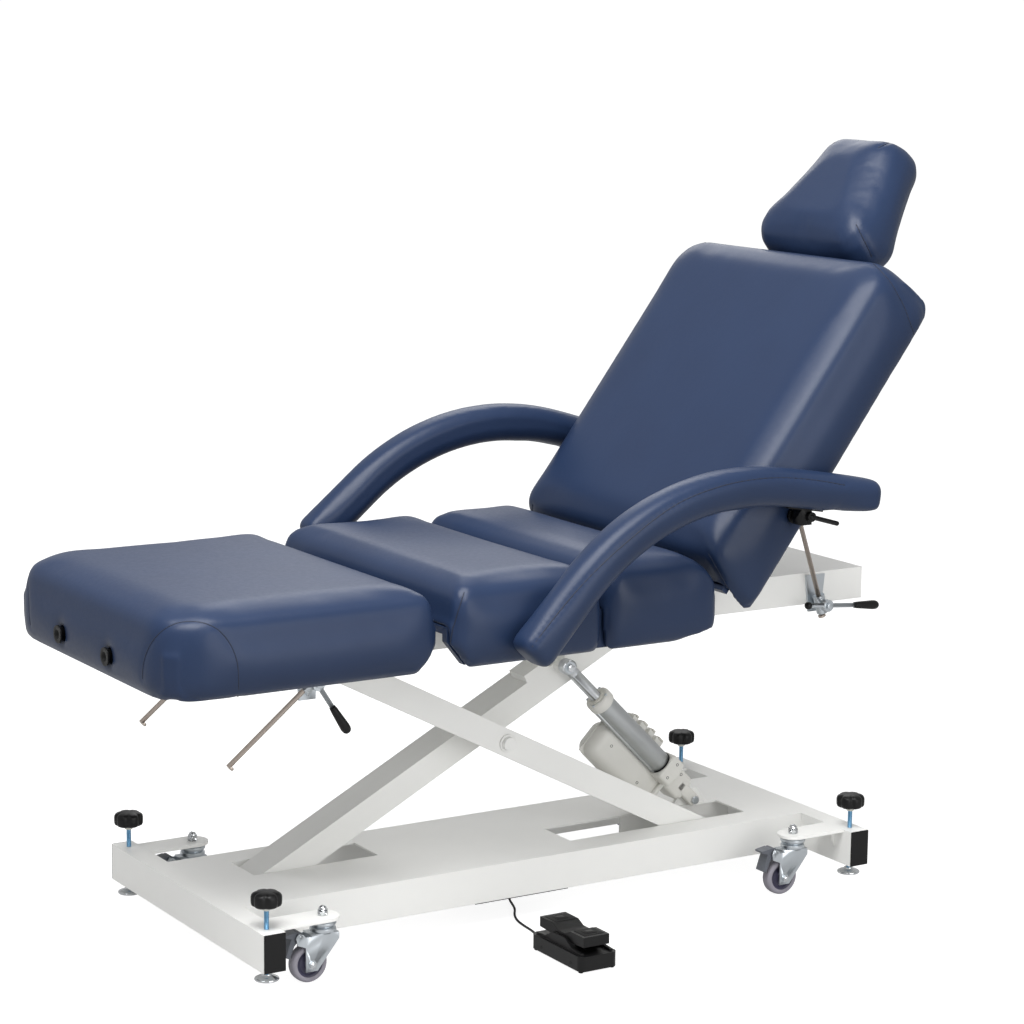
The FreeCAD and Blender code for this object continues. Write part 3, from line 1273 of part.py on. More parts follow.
    pillow = cushion("HeadPad", (size("head_start"), size("head_end")),
                     (size("head_half"), size("head_half_top")),
                     (size("head_rear"), size("head_front")), (size("head_corner"), size("head_corner")),
                     size("head_edge"), PILLOW_SHARES)
    bores = [bar("HeadHole" + side, "post_radius", "post_depth + 2 * overrun",
                 ("head_start - 2 * overrun", f"{side}outlet_y", "-post_level"), "X") for side in ("-", "+")]
    node("headrest_cushion", tilted(cut("HeadCushion", pillow, *bores), x, z, tilt))
    posts = [bar("HeadPost" + side, "post_radius", "head_start + post_depth - back_end + post_insert",
                 ("back_end - post_insert", f"{side}outlet_y", "-post_level"), "X") for side in ("-", "+")]
    node("headrest_posts", tilted(group("HeadPosts", *posts), x, z, tilt))


# Armrests
def armrest_pad(name, y):
    """Padded arch: a soft-cornered section swept along a straight, an arc and a straight."""
    centre = V(size("arm_arc_x"), y, size("arm_arc_z"))
    radius = size("arm_arc_radius")
    turns = [math.radians(size(key)) for key in ("arm_low_angle", "arm_high_angle")]
    mid = sum(turns) / len(turns)
    low, top, high = [centre + V(math.cos(t), 0, math.sin(t)) * radius for t in (turns[0], mid, turns[1])]
    down = V(-math.sin(turns[0]), 0, math.cos(turns[0]))
    over = V(math.sin(turns[1]), 0, -math.cos(turns[1]))
    first = low + down * size("arm_low_run")
    last = high + over * size("arm_high_run")
    path = doc.addObject("Part::Feature", name + "Path")
    path.Shape = Part.Wire([Part.LineSegment(first, low).toShape(), Part.Arc(low, top, high).toShape(),
                            Part.LineSegment(high, last).toShape()])
    side = V(0, 1, 0) * (size("arm_pad_width") / 2)
    rise = down.cross(V(0, 1, 0)) * (size("arm_pad_height") / 2)
    corner = size("arm_corner")
    ring = soft_wire(name + "Ring", [first - side - rise, first + side - rise, first + side + rise,
                                     first - side + rise], (corner, corner, corner, corner))
    sweep = doc.addObject("Part::Sweep", name + "Sweep")
    sweep.Sections = [ring]
    sweep.Spine = (path, ["Edge1", "Edge2", "Edge3"])
    sweep.Solid = True
    sweep.Transition = "Round corner"
    doc.recompute()
    ends = (first, last)
    rise_limit = size("arm_pad_height")
    return rounded(name, sweep, size("arm_end_round"),
                   lambda middle, along: any(abs((middle - end).dot(way)) < size("running_gap")
                                             and (middle - end).Length < rise_limit
                                             for end, way in zip(ends, (down, over))))


def arm_lever(name, side):
    """Lock lever on the stud outside an armrest's bracket: a hub and a round-ended bar."""
    reach = "(arm_inner + steel_sheet + arm_bracket_width + arm_lever_radius + lever_gap)"
    thick = "(2 * arm_lever_radius - lever_gap)"
    inner = f"{side}{reach} - {thick} / 2 {'+' if side == '-' else '-'} lever_gap / 2"
    hub = bar(name + "Hub", "2 * arm_stud", thick, ("0", inner, "0"), "Y")
    shaft = bar(name + "Bar", "arm_lever_radius - lever_gap", "arm_lever_length",
                ("0", f"{side}{reach}", "0"), "X")
    tip = ball(name + "Tip", "arm_lever_radius - lever_gap", ("arm_lever_length", f"{side}{reach}", "0"))
    hole = bar(name + "Hole", "arm_stud + running_gap", "4 * arm_lever_radius",
               ("0", f"{side}{reach} - 2 * arm_lever_radius", "0"), "Y")
    handle = cut(name, fuse(name + "Body", hub, shaft, tip), hole)
    return tilted(handle, size("arm_pivot_x") + size("arm_stud"), size("arm_pivot_z") + size("arm_stud"),
                  size("arm_lever_tilt"))


def armrests():
    """Two armrests about their pegs, with brackets and lock levers; the far one is turned up."""
    x = size("arm_pivot_x")
    z = size("arm_pivot_z")
    slope = size("arm_high_angle") - 90
    pad = armrest_pad("ArmPad", -size("arm_inner") - size("arm_pad_width") / 2)
    foot_x = size("arm_arc_x") + size("arm_arc_radius") * math.cos(math.radians(size("arm_high_angle")))
    foot_z = size("arm_arc_z") + size("arm_arc_radius") * math.sin(math.radians(size("arm_high_angle")))
    flat = block("ArmStrapFlat", ("arm_bracket_length", "arm_bracket_width", "steel_sheet"),
                 ("arm_bracket_start", "-arm_inner - steel_sheet - arm_bracket_width",
                  "-arm_pad_height / 2 - steel_sheet"))
    strap = tilted(group("ArmStrap", flat), foot_x, foot_z, slope)
    post = block("ArmPost", ("arm_post", "arm_bracket_width", "arm_post_rise"),
                 ("arm_pivot_x - arm_post / 2", "-arm_inner - steel_sheet - arm_bracket_width",
                  "arm_pivot_z - arm_post / 2"))
    peg = bar("ArmPeg", "peg_radius", "peg_depth + arm_bracket_width",
              ("arm_pivot_x", "-arm_inner - steel_sheet - arm_bracket_width", "arm_pivot_z"), "Y")
    stud = bar("ArmStud", "arm_stud", "2 * arm_lever_radius + arm_bracket_width + lever_gap",
               ("arm_pivot_x + arm_stud",
                "-arm_inner - steel_sheet - arm_bracket_width - 2 * arm_lever_radius - lever_gap",
                "arm_pivot_z + arm_stud"), "Y")
    bracket = fuse("ArmBracket", strap, post, peg, stud)
    node("armrest_near", group("ArmrestNear", pad))
    node("armrest_bracket_near", group("BracketNear", bracket))
    node("armrest_lever_near", group("LeverNear", arm_lever("NearLever", "-")))
    lift = FreeCAD.Placement(V(), FreeCAD.Rotation(V(0, 1, 0), size("far_arm_tilt")), V(x, 0, z))
    for name, item in (("armrest_far", mirrored("FarPad", pad)),
                       ("armrest_bracket_far", mirrored("FarBracket", bracket)),
                       ("armrest_lever_far", arm_lever("FarLever", "+"))):
        far = group(name.title().replace("_", ""), item)
        far.Placement = lift
        node(name, far)


# Foot pedal
def lead_path():
    """The lead's line: its runs joined by tangent arcs as large as the shorter run allows."""
    points = [V(*point) for point in LEAD_ROUTE]
    edges = []
    radii = []
    start = points[0]
    for before, here, after in zip(points, points[1:], points[2:]):
        back = before - here
        on = after - here
        run = size("lead_bend_share") * min(back.Length, on.Length)
        half = (math.pi - back.getAngle(on)) / 2
        radius = run / math.tan(half)
        back.normalize()
        on.normalize()
        inward = (back + on).normalize()
        middle = here + inward * (radius / math.cos(half) - radius)
        edges.append(Part.LineSegment(start, here + back * run).toShape())
        edges.append(Part.Arc(here + back * run, middle, here + on * run).toShape())
        start = here + on * run
        radii.append(radius)
    edges.append(Part.LineSegment(start, points[-1]).toShape())
    path = doc.addObject("Part::Feature", "LeadPath")
    path.Shape = Part.Wire(edges)
    return path, radii, path.Shape.Length


def pedal():
    """Rocker pedal on rubber feet, with its lead to the control box."""
    case = block("PedalCase", ("pedal_width", "pedal_length", "pedal_height - pedal_feet"),
                 ("-pedal_width / 2", "-pedal_length / 2", "pedal_feet"))
    soft = rounded("PedalSoft", case, size("pedal_corner"), lambda middle,
                   along: abs(along.z) > size("corner_share"))
    parts = [soft]
    for side in ("-", "+"):
        cheek = plate("PedalCheek" + side, "YZ_Plane",
                      shares(DECK_SHARES, "deck_length", "deck_height", "pedal_height - overrun"),
                      "(deck_width - rocker_width) / 2 - free_gap")
        parts.append(place(cheek, (f"{side}(deck_width + rocker_width + 2 * free_gap) / 4", "0", "0")))
        for end in ("-", "+"):
            parts.append(bar("PedalFoot" + side + end, "pedal_foot_radius", "pedal_feet + overrun",
                             (f"{side}(pedal_width / 2 - pedal_foot_inset)",
                              f"{end}(pedal_length / 2 - pedal_foot_inset)", "0")))
    parts.append(bar("PedalAxle", "rocker_axle", "deck_width", ("-deck_width / 2", "0", "rocker_axle_z"),
                     "X"))
    body = moved("PedalBody", fuse("PedalBase", *parts), ("pedal_x", "pedal_y", "0"))
    node("pedal_base", body)

    saddle = plate("RockerSaddle", "YZ_Plane",
                   shares(ROCKER_SHARES, "rocker_length", "rocker_height", "rocker_axle_z - overrun"),
                   "rocker_width")
    hole = bar("RockerHole", "rocker_axle + running_gap", "2 * rocker_width",
               ("-rocker_width", "0", "rocker_axle_z"), "X")
    recess = [block("PadRecess" + end, ("rocker_width - 2 * pad_inset", "pad_length", "pad_depth + overrun"),
                    ("pad_inset - rocker_width / 2",
                     f"{end}(rocker_length - pad_length) / 2 - pad_length / 2 {inward}pad_inset",
                     "rocker_axle_z - overrun + rocker_height - pad_depth")) for end,
                     inward in (("-", "+"), ("+", "-"))]
    node("pedal_rocker",
         moved("PedalRocker", cut("RockerBody", saddle, hole, *recess), ("pedal_x", "pedal_y", "0")))

    path, radii, length = lead_path()
    ring = doc.addObject("Part::Feature", "LeadRing")
    ring.Shape = Part.Wire([Part.makeCircle(size("lead_radius"), V(*LEAD_ROUTE[0]), V(0, 0, -1))])
    sweep = doc.addObject("Part::Sweep", "Lead")
    sweep.Sections = [ring]
    sweep.Spine = (path, [f"Edge{i + 1}" for i in range(len(path.Shape.Edges))])
    sweep.Solid = True
    doc.recompute()
    plain = math.pi * size("lead_radius") ** 2 * length
    print("lead radii", [round(radius, 1) for radius in radii], "length", round(length, 1),
          "volume share", round(sweep.Shape.Volume / plain, 4))
    node("pedal_cord", sweep)


def build():
    """Make every sub-part, check it and write one file for each."""
    base_frame()
    caster_mounts()
    casters()
    levelling_screws()
    scissor()
    actuator()
    top_frame()
    locks()
    leg_section()
    seat_section()
    back_section()
    armrests()
    pedal()
    doc.recompute()
    broken = [item.Name for item in doc.Objects if {"Invalid", "Error"} & set(item.State)]
    if broken:
        raise RuntimeError("not built: " + ", ".join(broken))
    os.makedirs("parts", exist_ok=True)
    for name, item in NODES.items():
        if item.Shape.isNull() or not item.Shape.isValid():
            raise RuntimeError("bad shape: " + name)
        item.Shape.exportStep(f"parts/{name}.step")


build()
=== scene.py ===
"""Looks of an electric-lift facial bed, laid out as a Blender add-on and run as a script."""

import json
import math

import bmesh
import bpy
from mathutils import Matrix, Vector
from mathutils.bvhtree import BVHTree
from mathutils.kdtree import KDTree

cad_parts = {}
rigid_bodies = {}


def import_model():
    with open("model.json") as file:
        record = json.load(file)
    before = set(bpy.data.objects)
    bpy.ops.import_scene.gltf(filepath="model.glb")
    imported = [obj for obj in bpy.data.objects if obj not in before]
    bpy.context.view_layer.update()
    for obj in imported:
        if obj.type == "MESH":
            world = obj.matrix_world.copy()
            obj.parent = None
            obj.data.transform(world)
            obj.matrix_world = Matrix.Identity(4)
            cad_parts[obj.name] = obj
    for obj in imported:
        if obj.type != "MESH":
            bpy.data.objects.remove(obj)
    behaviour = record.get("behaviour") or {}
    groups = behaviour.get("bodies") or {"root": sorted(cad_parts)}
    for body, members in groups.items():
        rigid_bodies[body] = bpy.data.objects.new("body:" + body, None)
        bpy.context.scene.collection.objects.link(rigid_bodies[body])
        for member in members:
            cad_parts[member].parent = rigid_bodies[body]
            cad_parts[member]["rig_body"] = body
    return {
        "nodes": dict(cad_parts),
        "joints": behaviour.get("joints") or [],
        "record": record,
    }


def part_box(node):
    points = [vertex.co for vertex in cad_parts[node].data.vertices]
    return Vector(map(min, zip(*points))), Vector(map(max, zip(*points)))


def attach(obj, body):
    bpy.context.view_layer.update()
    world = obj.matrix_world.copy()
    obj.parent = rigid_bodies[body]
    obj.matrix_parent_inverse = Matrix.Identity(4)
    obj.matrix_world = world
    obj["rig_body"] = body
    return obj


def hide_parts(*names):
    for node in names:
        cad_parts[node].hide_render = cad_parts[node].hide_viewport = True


bl_info = {
    "name": "Facial bed dressing",
    "version": (1, 0, 0),
    "blender": (4, 5, 0),
    "location": "View3D > Sidebar > Facial bed",
    "description": "Dresses the packed facial bed with cushions, seams, finishes and a stage",
    "category": "Object",
}

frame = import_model()
NODES = frame["nodes"]
JOINTS = {joint["name"]: joint for joint in frame["joints"]}
BODY_OF = {node: body for body, nodes in frame["record"]["behaviour"]["bodies"].items() for node in nodes}
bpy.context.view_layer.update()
MM = 0.001
IMAGE_SIDE = 1024

# Knobs and threads: the pitch in millimetres.
KNOB_LOBES = 6
KNOB_NOTCH = 0.13
THREAD_PITCH = 2.5

# Angles past which an edge is shaded sharp.
SHARP_EDGE = math.radians(35)
BLOCK_EDGE = math.radians(40)
NUT_EDGE = math.radians(30)
KNOB_EDGE = math.radians(50)

# Cloth and the rounds that smooth it.
CLOTH_QUALITY = 4
CLOTH_STIFFNESS = 12
FLAT_ROUNDS = 12
ARM_ROUNDS = 14
CALM_ROUNDS = 30
LAST_ROUNDS = 2

# Places along the bed where an armrest's padding gives way to its lever, and how far.
LEVER_ROOM = (300 * MM, 420 * MM)
LEVER_HOLLOW = (505 * MM, 535 * MM)
LEVER_RELIEF = 6 * MM
FAR_ARM_LIFT = math.radians(8)
ARM_PIVOT = Vector(JOINTS["armrest_near_turn"]["pos_m"])

# Boards: the least length that tells one from a hinge, and where the leg's and the back's end.
BOARD_LEAST = 400 * MM
FACING_DOWN = 0.7
LEG_TRAY_END = -905 * MM
BACK_TRAY_END = 762 * MM
TUCK = 42 * MM
TUCK_REACH = 26 * MM

# Rounded corners and sloped edges of the cushions.
HINGE = Vector(JOINTS["back_recline"]["pos_m"])
BACK_TILT = math.radians(53)
BACK_END = 794 * MM
BACK_SKIRT = -72 * MM
CORNER_TAPER = 6 * MM
CORNER_INSIDE = 58 * MM
CORNER_RISE = 4 * MM
CORNER_TOP = 95 * MM
FOOT_CORNER = 103 * MM
FOOT_CENTRE = 108 * MM
HEAD_CORNER = 83 * MM
HEAD_CENTRE = 88 * MM
HINGE_RUN = 42 * MM
HINGE_RISE = 52 * MM
HEEL_RUN = 100 * MM
HEEL_RISE = 20 * MM

# Seam lines as they run in the photograph, in its pixels from the top left corner.
SEAM_PIXELS = {
    "leg_corner": ((142, 679), (143, 660), (150, 643), (163, 629), (180, 621), (200, 621), (218, 628),
                   (231, 643), (238, 662), (239, 680), (238, 697)),
    "thigh_corner": ((464, 592), (461, 602), (457, 614), (453, 628), (450, 642)),
    "back_dart": ((708, 554), (716, 568), (725, 584), (733, 598), (737, 606)),
    "back_corner": ((872, 262), (890, 280), (904, 305), (914, 333), (917, 346)),
    "head_side": ((856, 224), (863, 238), (869, 250), (872, 257)),
    "head_top": ((878, 147), (887, 143), (896, 141)),
    "armrest": ((532, 647), (553, 619), (576, 591), (601, 565), (628, 541), (653, 520), (679, 502),
                (705, 491), (731, 483), (760, 478), (790, 477), (820, 480), (845, 485)),
}

# Area lights: name, place in metres, side in metres, power in watts.
LIGHTS = (
    ("top", (-1.5, -1.2, 4.4), 3.2, 290),
    ("rim", (2.2, 3.2, 3.4), 2.6, 40),
    ("fill", (0.6, -4.6, 1.6), 3.0, 66),
)
LIGHT_AIM = Vector((0, 0, 0.6))
FLOOR_REACH = 30
SENSOR_WIDTH = 36
VIEW_DEPTH = 60

# The lead's points from the control box to the pedal, in millimetres.
LEAD_ROUTE = (
    (10, -36, 42), (10, -36, 29.4), (8.4, -40.7, 17.4), (5.3, -49.4, 8.2), (1.3, -60.7, 3.2),
    (-6, -81.5, 3.2), (-19, -114, 3.2), (-41, -146, 3.2), (-56, -181, 3.2), (-61.5, -217, 3.2),
    (-64, -252, 3.2), (-73, -282, 5), (-81, -312, 13), (-81, -341, 13),
)


class FacialBedColours(bpy.types.PropertyGroup):
    """Colours of the bed's finishes."""

    vinyl: bpy.props.StringProperty(name="Vinyl", description="Upholstery colour", default="#22324F")
    vinyl_deep: bpy.props.StringProperty(name="Vinyl depth", description="Darker patches of the upholstery",
                                         default="#1E2C47")
    coat: bpy.props.StringProperty(name="Powder coat", description="Frame colour", default="#F5F5F2")
    zinc: bpy.props.StringProperty(name="Zinc", description="Bright zinc plate", default="#CDD3D8")
    chrome: bpy.props.StringProperty(name="Chrome", description="Polished plate", default="#DADDE0")
    black: bpy.props.StringProperty(name="Black plastic", description="Moulded black parts",
                                    default="#0D0D0E")
    grey: bpy.props.StringProperty(name="Grey plastic", description="Actuator housing", default="#E6E5DF")
    brake: bpy.props.StringProperty(name="Brake grey", description="Caster brake pedals", default="#5C6068")
    aluminium: bpy.props.StringProperty(name="Aluminium", description="Actuator tube", default="#C4C7C8")
    tyre: bpy.props.StringProperty(name="Tyre", description="Caster tread", default="#1D1D1F")
    hub: bpy.props.StringProperty(name="Hub", description="Caster hub", default="#3A384E")
    stem: bpy.props.StringProperty(name="Stem", description="Blue zinc of the levelling stems",
                                   default="#7FB2D6")
    nickel: bpy.props.StringProperty(name="Nickel", description="Lock rods", default="#C9BDB3")
    lining: bpy.props.StringProperty(name="Lining", description="Cloth under the boards", default="#1A1B1F")
    cream: bpy.props.StringProperty(name="Nylon", description="Rollers, caps and rings", default="#DAD8CF")
    floor: bpy.props.StringProperty(name="Floor", description="Studio floor", default="#9C9C9C")


class FacialBedSizes(bpy.types.PropertyGroup):
    """Sizes of the soft pieces and the fittings."""

    voxel: bpy.props.FloatProperty(name="Cloth grid", description="Remesh size of a cushion", default=8 * MM,
                                   unit="LENGTH")
    pad_voxel: bpy.props.FloatProperty(name="Pad grid", description="Remesh size of a small pad",
                                       default=5 * MM, unit="LENGTH")
    draw_in: bpy.props.FloatProperty(name="Draw in", description="How much a pad starts below its solid",
                                     default=2.5 * MM, unit="LENGTH")
    swell: bpy.props.FloatProperty(name="Swell", description="Most that the filling may push out",
                                   default=6 * MM, unit="LENGTH")
    arm_proud: bpy.props.FloatProperty(name="Armrest padding", default=9 * MM, unit="LENGTH",
                                       description="Padding of the armrests over their solids")
    pressure: bpy.props.FloatProperty(name="Pressure", description="Push of the filling", default=4.0)
    steps: bpy.props.IntProperty(name="Steps", description="Frames of the simulation", default=14)
    crease: bpy.props.FloatProperty(name="Crease", default=0.1, subtype="FACTOR",
                                    description="Share of the cloth's fine creases that is kept")
    seam: bpy.props.FloatProperty(name="Seam", description="Radius of a sewn seam", default=1.1 * MM,
                                  unit="LENGTH")
    seam_dip: bpy.props.FloatProperty(name="Seam dip", description="Depth of the valley at a seam",
                                      default=2.2 * MM, unit="LENGTH")
    seam_reach: bpy.props.FloatProperty(name="Seam reach", description="Width of the valley at a seam",
                                        default=14 * MM, unit="LENGTH")
    lead: bpy.props.FloatProperty(name="Lead", description="Thickness of the pedal lead", default=5 * MM,
                                  unit="LENGTH")


class FacialBedStage(bpy.types.PropertyGroup):
    """Camera and lights."""

    eye: bpy.props.FloatVectorProperty(name="Camera", description="Place of the camera", unit="LENGTH",
                                       default=(-3.071, -5.0213, 1.8507))
    yaw: bpy.props.FloatProperty(name="Yaw", description="Turn from +Y towards +X", subtype="ANGLE",
                                 default=math.radians(31.73))
    pitch: bpy.props.FloatProperty(name="Pitch", description="Tilt below the level", subtype="ANGLE",
                                   default=math.radians(9.885))
    roll: bpy.props.FloatProperty(name="Roll", description="Turn about the view", subtype="ANGLE",
                                  default=math.radians(0.586))
    focal: bpy.props.FloatProperty(name="Focal length", description="In pixels of the square image",
                                   default=2881.8)


def colours():
    """Colour settings of the scene."""
    return bpy.context.scene.facial_bed_colours


def sizes():
    """Size settings of the scene."""
    return bpy.context.scene.facial_bed_sizes


# Finishes
def linear(text):
    """Linear colour of an sRGB hex value."""
    parts = [int(text[i:i + 2], 16) / 255 for i in (1, 3, 5)]
    return [c / 12.92 if c <= 0.04045 else ((c + 0.055) / 1.055) ** 2.4 for c in parts] + [1.0]


def add(tree, kind, inputs=None, feeds=None, **settings):
    """Add a node: inputs are socket values or the sockets that feed them, feeds the sockets that it feeds."""
    node = tree.nodes.new(kind)
    for name, value in settings.items():
        setattr(node, name, value)
    for name, value in (inputs or {}).items():
        if isinstance(value, bpy.types.NodeSocket):
            tree.links.new(value, node.inputs[name])
        else:
            node.inputs[name].default_value = value
    for name, socket in (feeds or {}).items():
        tree.links.new(node.outputs[name], socket)
    return node


def finish(name):
    """A new material with its tree, shader and Object coordinates; one made before comes without them."""
    made = bpy.data.materials.get(name)
    if made:
        return made, None, None, None
    made = bpy.data.materials.new(name)
    made.use_nodes = True
    tree = made.node_tree
    shader = tree.nodes["Principled BSDF"]
    place = add(tree, "ShaderNodeTexCoord").outputs["Object"]
    return made, tree, shader, place


def per_metre(millimetres):
    """Texture scale for a pattern of a real size."""
    return 1 / (millimetres * MM)


def vinyl():
    """Calendered upholstery vinyl: a fine pebbled grain under a soft even sheen."""
    made, tree, shader, place = finish("navy_upholstery_vinyl")
    if not tree:
        return made
    cloud = add(tree, "ShaderNodeTexNoise", {"Vector": place, "Scale": per_metre(160), "Detail": 3.0})
    fine = add(tree, "ShaderNodeTexNoise", {"Vector": place, "Scale": per_metre(9), "Detail": 4.0})
    # The real grain is about half a millimetre, drawn at 1.6 mm so that it shows.
    grain = add(tree, "ShaderNodeTexVoronoi", {"Vector": place, "Scale": per_metre(1.6)}, feature="SMOOTH_F1")
    add(tree, "ShaderNodeMix", {0: cloud.outputs["Fac"], 6: linear(colours().vinyl_deep),
                                7: linear(colours().vinyl)},
        {2: shader.inputs["Base Color"]}, data_type="RGBA")
    add(tree, "ShaderNodeMapRange", {"Value": fine.outputs["Fac"], "To Min": 0.32, "To Max": 0.44},
        {"Result": shader.inputs["Roughness"]})
    soft = add(tree, "ShaderNodeBump", {"Height": cloud.outputs["Fac"], "Strength": 0.25, "Distance": 4 * MM})
    add(tree, "ShaderNodeBump", {"Height": grain.outputs["Distance"], "Strength": 0.16, "Distance": 0.5 * MM,
                                 "Normal": soft.outputs["Normal"]}, {"Normal": shader.inputs["Normal"]})
    shader.inputs["IOR"].default_value = 1.5
    shader.inputs["Specular IOR Level"].default_value = 0.3
    return made


def seam_welt_painted_shade():
    """Sewn seam in the same vinyl, coloured darker as painted shade where it folds in."""
    made, tree, shader, place = finish("painted_shade_seam")
    if not tree:
        return made
    twist = add(tree, "ShaderNodeTexNoise", {"Vector": place, "Scale": per_metre(3), "Detail": 2.0})
    # Both dark tones are painted shade of the fold, darker than the vinyl itself.
    add(tree, "ShaderNodeMix", {0: twist.outputs["Fac"], 6: linear("#0E1526"), 7: linear("#18233A")},
        {2: shader.inputs["Base Color"]}, data_type="RGBA")
    shader.inputs["Roughness"].default_value = 0.6
    return made


def moulded(name, colour, roughness, grit, bump=0.15, depth=0.85, gloss_level=0.5):
    """Moulded plastic: fine spark texture from the tool and a slight change of tone."""
    made, tree, shader, place = finish(name)
    if not tree:
        return made
    tone = add(tree, "ShaderNodeTexNoise", {"Vector": place, "Scale": per_metre(60), "Detail": 2.0})
    spark = add(tree, "ShaderNodeTexNoise", {"Vector": place, "Scale": per_metre(grit), "Detail": 3.0})
    base = linear(colour)
    dark = [c * depth for c in base[:3]] + [1.0]
    add(tree, "ShaderNodeMix", {0: tone.outputs["Fac"], 6: dark, 7: base}, {2: shader.inputs["Base Color"]},
        data_type="RGBA")
    add(tree, "ShaderNodeMapRange", {"Value": spark.outputs["Fac"], "To Min": roughness - 0.08,
                                     "To Max": roughness + 0.08}, {"Result": shader.inputs["Roughness"]})
    edge = add(tree, "ShaderNodeBevel", {"Radius": 1.2 * MM}, samples=4)
    add(tree, "ShaderNodeBump", {"Height": spark.outputs["Fac"], "Strength": bump, "Distance": 0.2 * MM,
                                 "Normal": edge.outputs["Normal"]}, {"Normal": shader.inputs["Normal"]})
    shader.inputs["IOR"].default_value = 1.52
    shader.inputs["Specular IOR Level"].default_value = gloss_level
    return made


def powder_coat():
    """Baked powder coat on steel: off-white, satin, with a faint orange peel."""
    return moulded("white_powder_coat", colours().coat, 0.40, 2.5, 0.08, 0.97)


def plated(name, colour, roughness, streak):
    """Plated steel: a metal with a slightly uneven, wiped polish."""
    made, tree, shader, place = finish(name)
    if not tree:
        return made
    haze = add(tree, "ShaderNodeTexNoise", {"Vector": place, "Scale": per_metre(streak), "Detail": 4.0})
    base = linear(colour)
    dark = [c * 0.93 for c in base[:3]] + [1.0]
    add(tree, "ShaderNodeMix", {0: haze.outputs["Fac"], 6: dark, 7: base}, {2: shader.inputs["Base Color"]},
        data_type="RGBA")
    add(tree, "ShaderNodeMapRange", {"Value": haze.outputs["Fac"], "To Min": roughness * 0.85,
                                     "To Max": roughness * 1.15}, {"Result": shader.inputs["Roughness"]})
    add(tree, "ShaderNodeBevel", {"Radius": 0.8 * MM}, {"Normal": shader.inputs["Normal"]}, samples=4)
    shader.inputs["Metallic"].default_value = 1.0
    return made


def lining():
    """Black non-woven cloth stapled under the boards: matt, with short pressed fibres."""
    made, tree, shader, place = finish("black_lining_cloth")
    if not tree:
        return made
    fibre = add(tree, "ShaderNodeTexNoise", {"Vector": place, "Scale": per_metre(3), "Detail": 5.0})
    add(tree, "ShaderNodeMix", {0: fibre.outputs["Fac"], 6: linear("#0C0D0F"), 7: linear(colours().lining)},
        {2: shader.inputs["Base Color"]}, data_type="RGBA")
    add(tree, "ShaderNodeBump", {"Height": fibre.outputs["Fac"], "Strength": 0.4, "Distance": 0.5 * MM},
        {"Normal": shader.inputs["Normal"]})
    shader.inputs["Roughness"].default_value = 0.95
    return made


def studio_floor():
    """Back-lit paper sweep: it glows, and keeps a faint shadow."""
    made, tree, shader, place = finish("paper_sweep")
    if not tree:
        return made
    tooth = add(tree, "ShaderNodeTexNoise", {"Vector": place, "Scale": per_metre(400), "Detail": 2.0})
    add(tree, "ShaderNodeMix", {0: tooth.outputs["Fac"], 6: linear("#989898"), 7: linear(colours().floor)},
        {2: shader.inputs["Base Color"]}, data_type="RGBA")
    shader.inputs["Roughness"].default_value = 0.9
    shader.inputs["Specular IOR Level"].default_value = 0.0
    shader.inputs["Emission Color"].default_value = (1.0, 1.0, 1.0, 1.0)
    seen = add(tree, "ShaderNodeLightPath")
    add(tree, "ShaderNodeMapRange", {"Value": seen.outputs["Is Camera Ray"], "To Min": 0.22, "To Max": 0.9},
        {"Result": shader.inputs["Emission Strength"]})
    return made


def black_plastic():
    """Glass-filled nylon: black with a fine spark texture."""
    return moulded("black_nylon", colours().black, 0.42, 1.5, gloss_level=0.28)


def zinc():
    """Bright zinc plate with a cold blue cast."""
    return plated("bright_zinc", colours().zinc, 0.3, 40)


def chrome():
    """Bright chrome plate."""
    return plated("bright_chrome", colours().chrome, 0.12, 30)


def nylon():
    """Cream nylon, turned or moulded, with a satin skin."""
    return moulded("cream_nylon", colours().cream, 0.4, 2.0)


def housing_plastic():
    """Pale grey ABS of the actuator's covers, lightly sparked."""
    return moulded("pale_grey_abs", colours().grey, 0.42, 2.0)


def aluminium():
    """Extruded aluminium tube, clear anodised to a silky grey."""
    return plated("anodised_aluminium", colours().aluminium, 0.36, 5)


FINISH_OF = {
    "powder_coat": ("base_beam", "crossbars", "caster_plates", "actuator_bracket", "arm_a", "arm_b",
                    "top_beam", "centre_bolt"),
    "black_plastic": ("control_box", "leg_outlets", "back_sockets", "armrest_lever_near", "armrest_lever_far",
                      "armrest_bracket_near", "armrest_bracket_far"),
    "zinc": ("caster_fork_1", "caster_fork_2", "caster_fork_3", "caster_fork_4", "frame_brackets",
             "leg_lock_housings", "back_lock_housings"),
    "chrome": ("caster_bolts", "headrest_posts"),
    "satin": ("actuator_rod",),
    "nylon": ("arm_a_roller", "arm_b_roller"),
}


def finishes():
    """Finish of each group of kept solids."""
    return {
        "powder_coat": powder_coat(),
        "black_plastic": black_plastic(),
        "zinc": zinc(),
        "chrome": chrome(),
        "nickel": plated("satin_nickel", colours().nickel, 0.42, 25),
        "satin": plated("ground_steel", colours().chrome, 0.3, 4),
        "nylon": nylon(),
    }


# Mesh helpers
def stood(name, data):
    """New object of a mesh, curve, lamp or lens, in the scene."""
    item = bpy.data.objects.new(name, data)
    bpy.context.scene.collection.objects.link(item)
    return item


def mesh_from(name, shape):
    """Mesh of a bmesh, which is then let go."""
    mesh = bpy.data.meshes.new(name)
    shape.to_mesh(mesh)
    shape.free()
    return mesh


def applied(piece):
    """Mesh of an object with its modifiers applied; the object goes."""
    graph = bpy.context.evaluated_depsgraph_get()
    mesh = bpy.data.meshes.new_from_object(piece.evaluated_get(graph))
    bpy.data.objects.remove(piece)
    return mesh


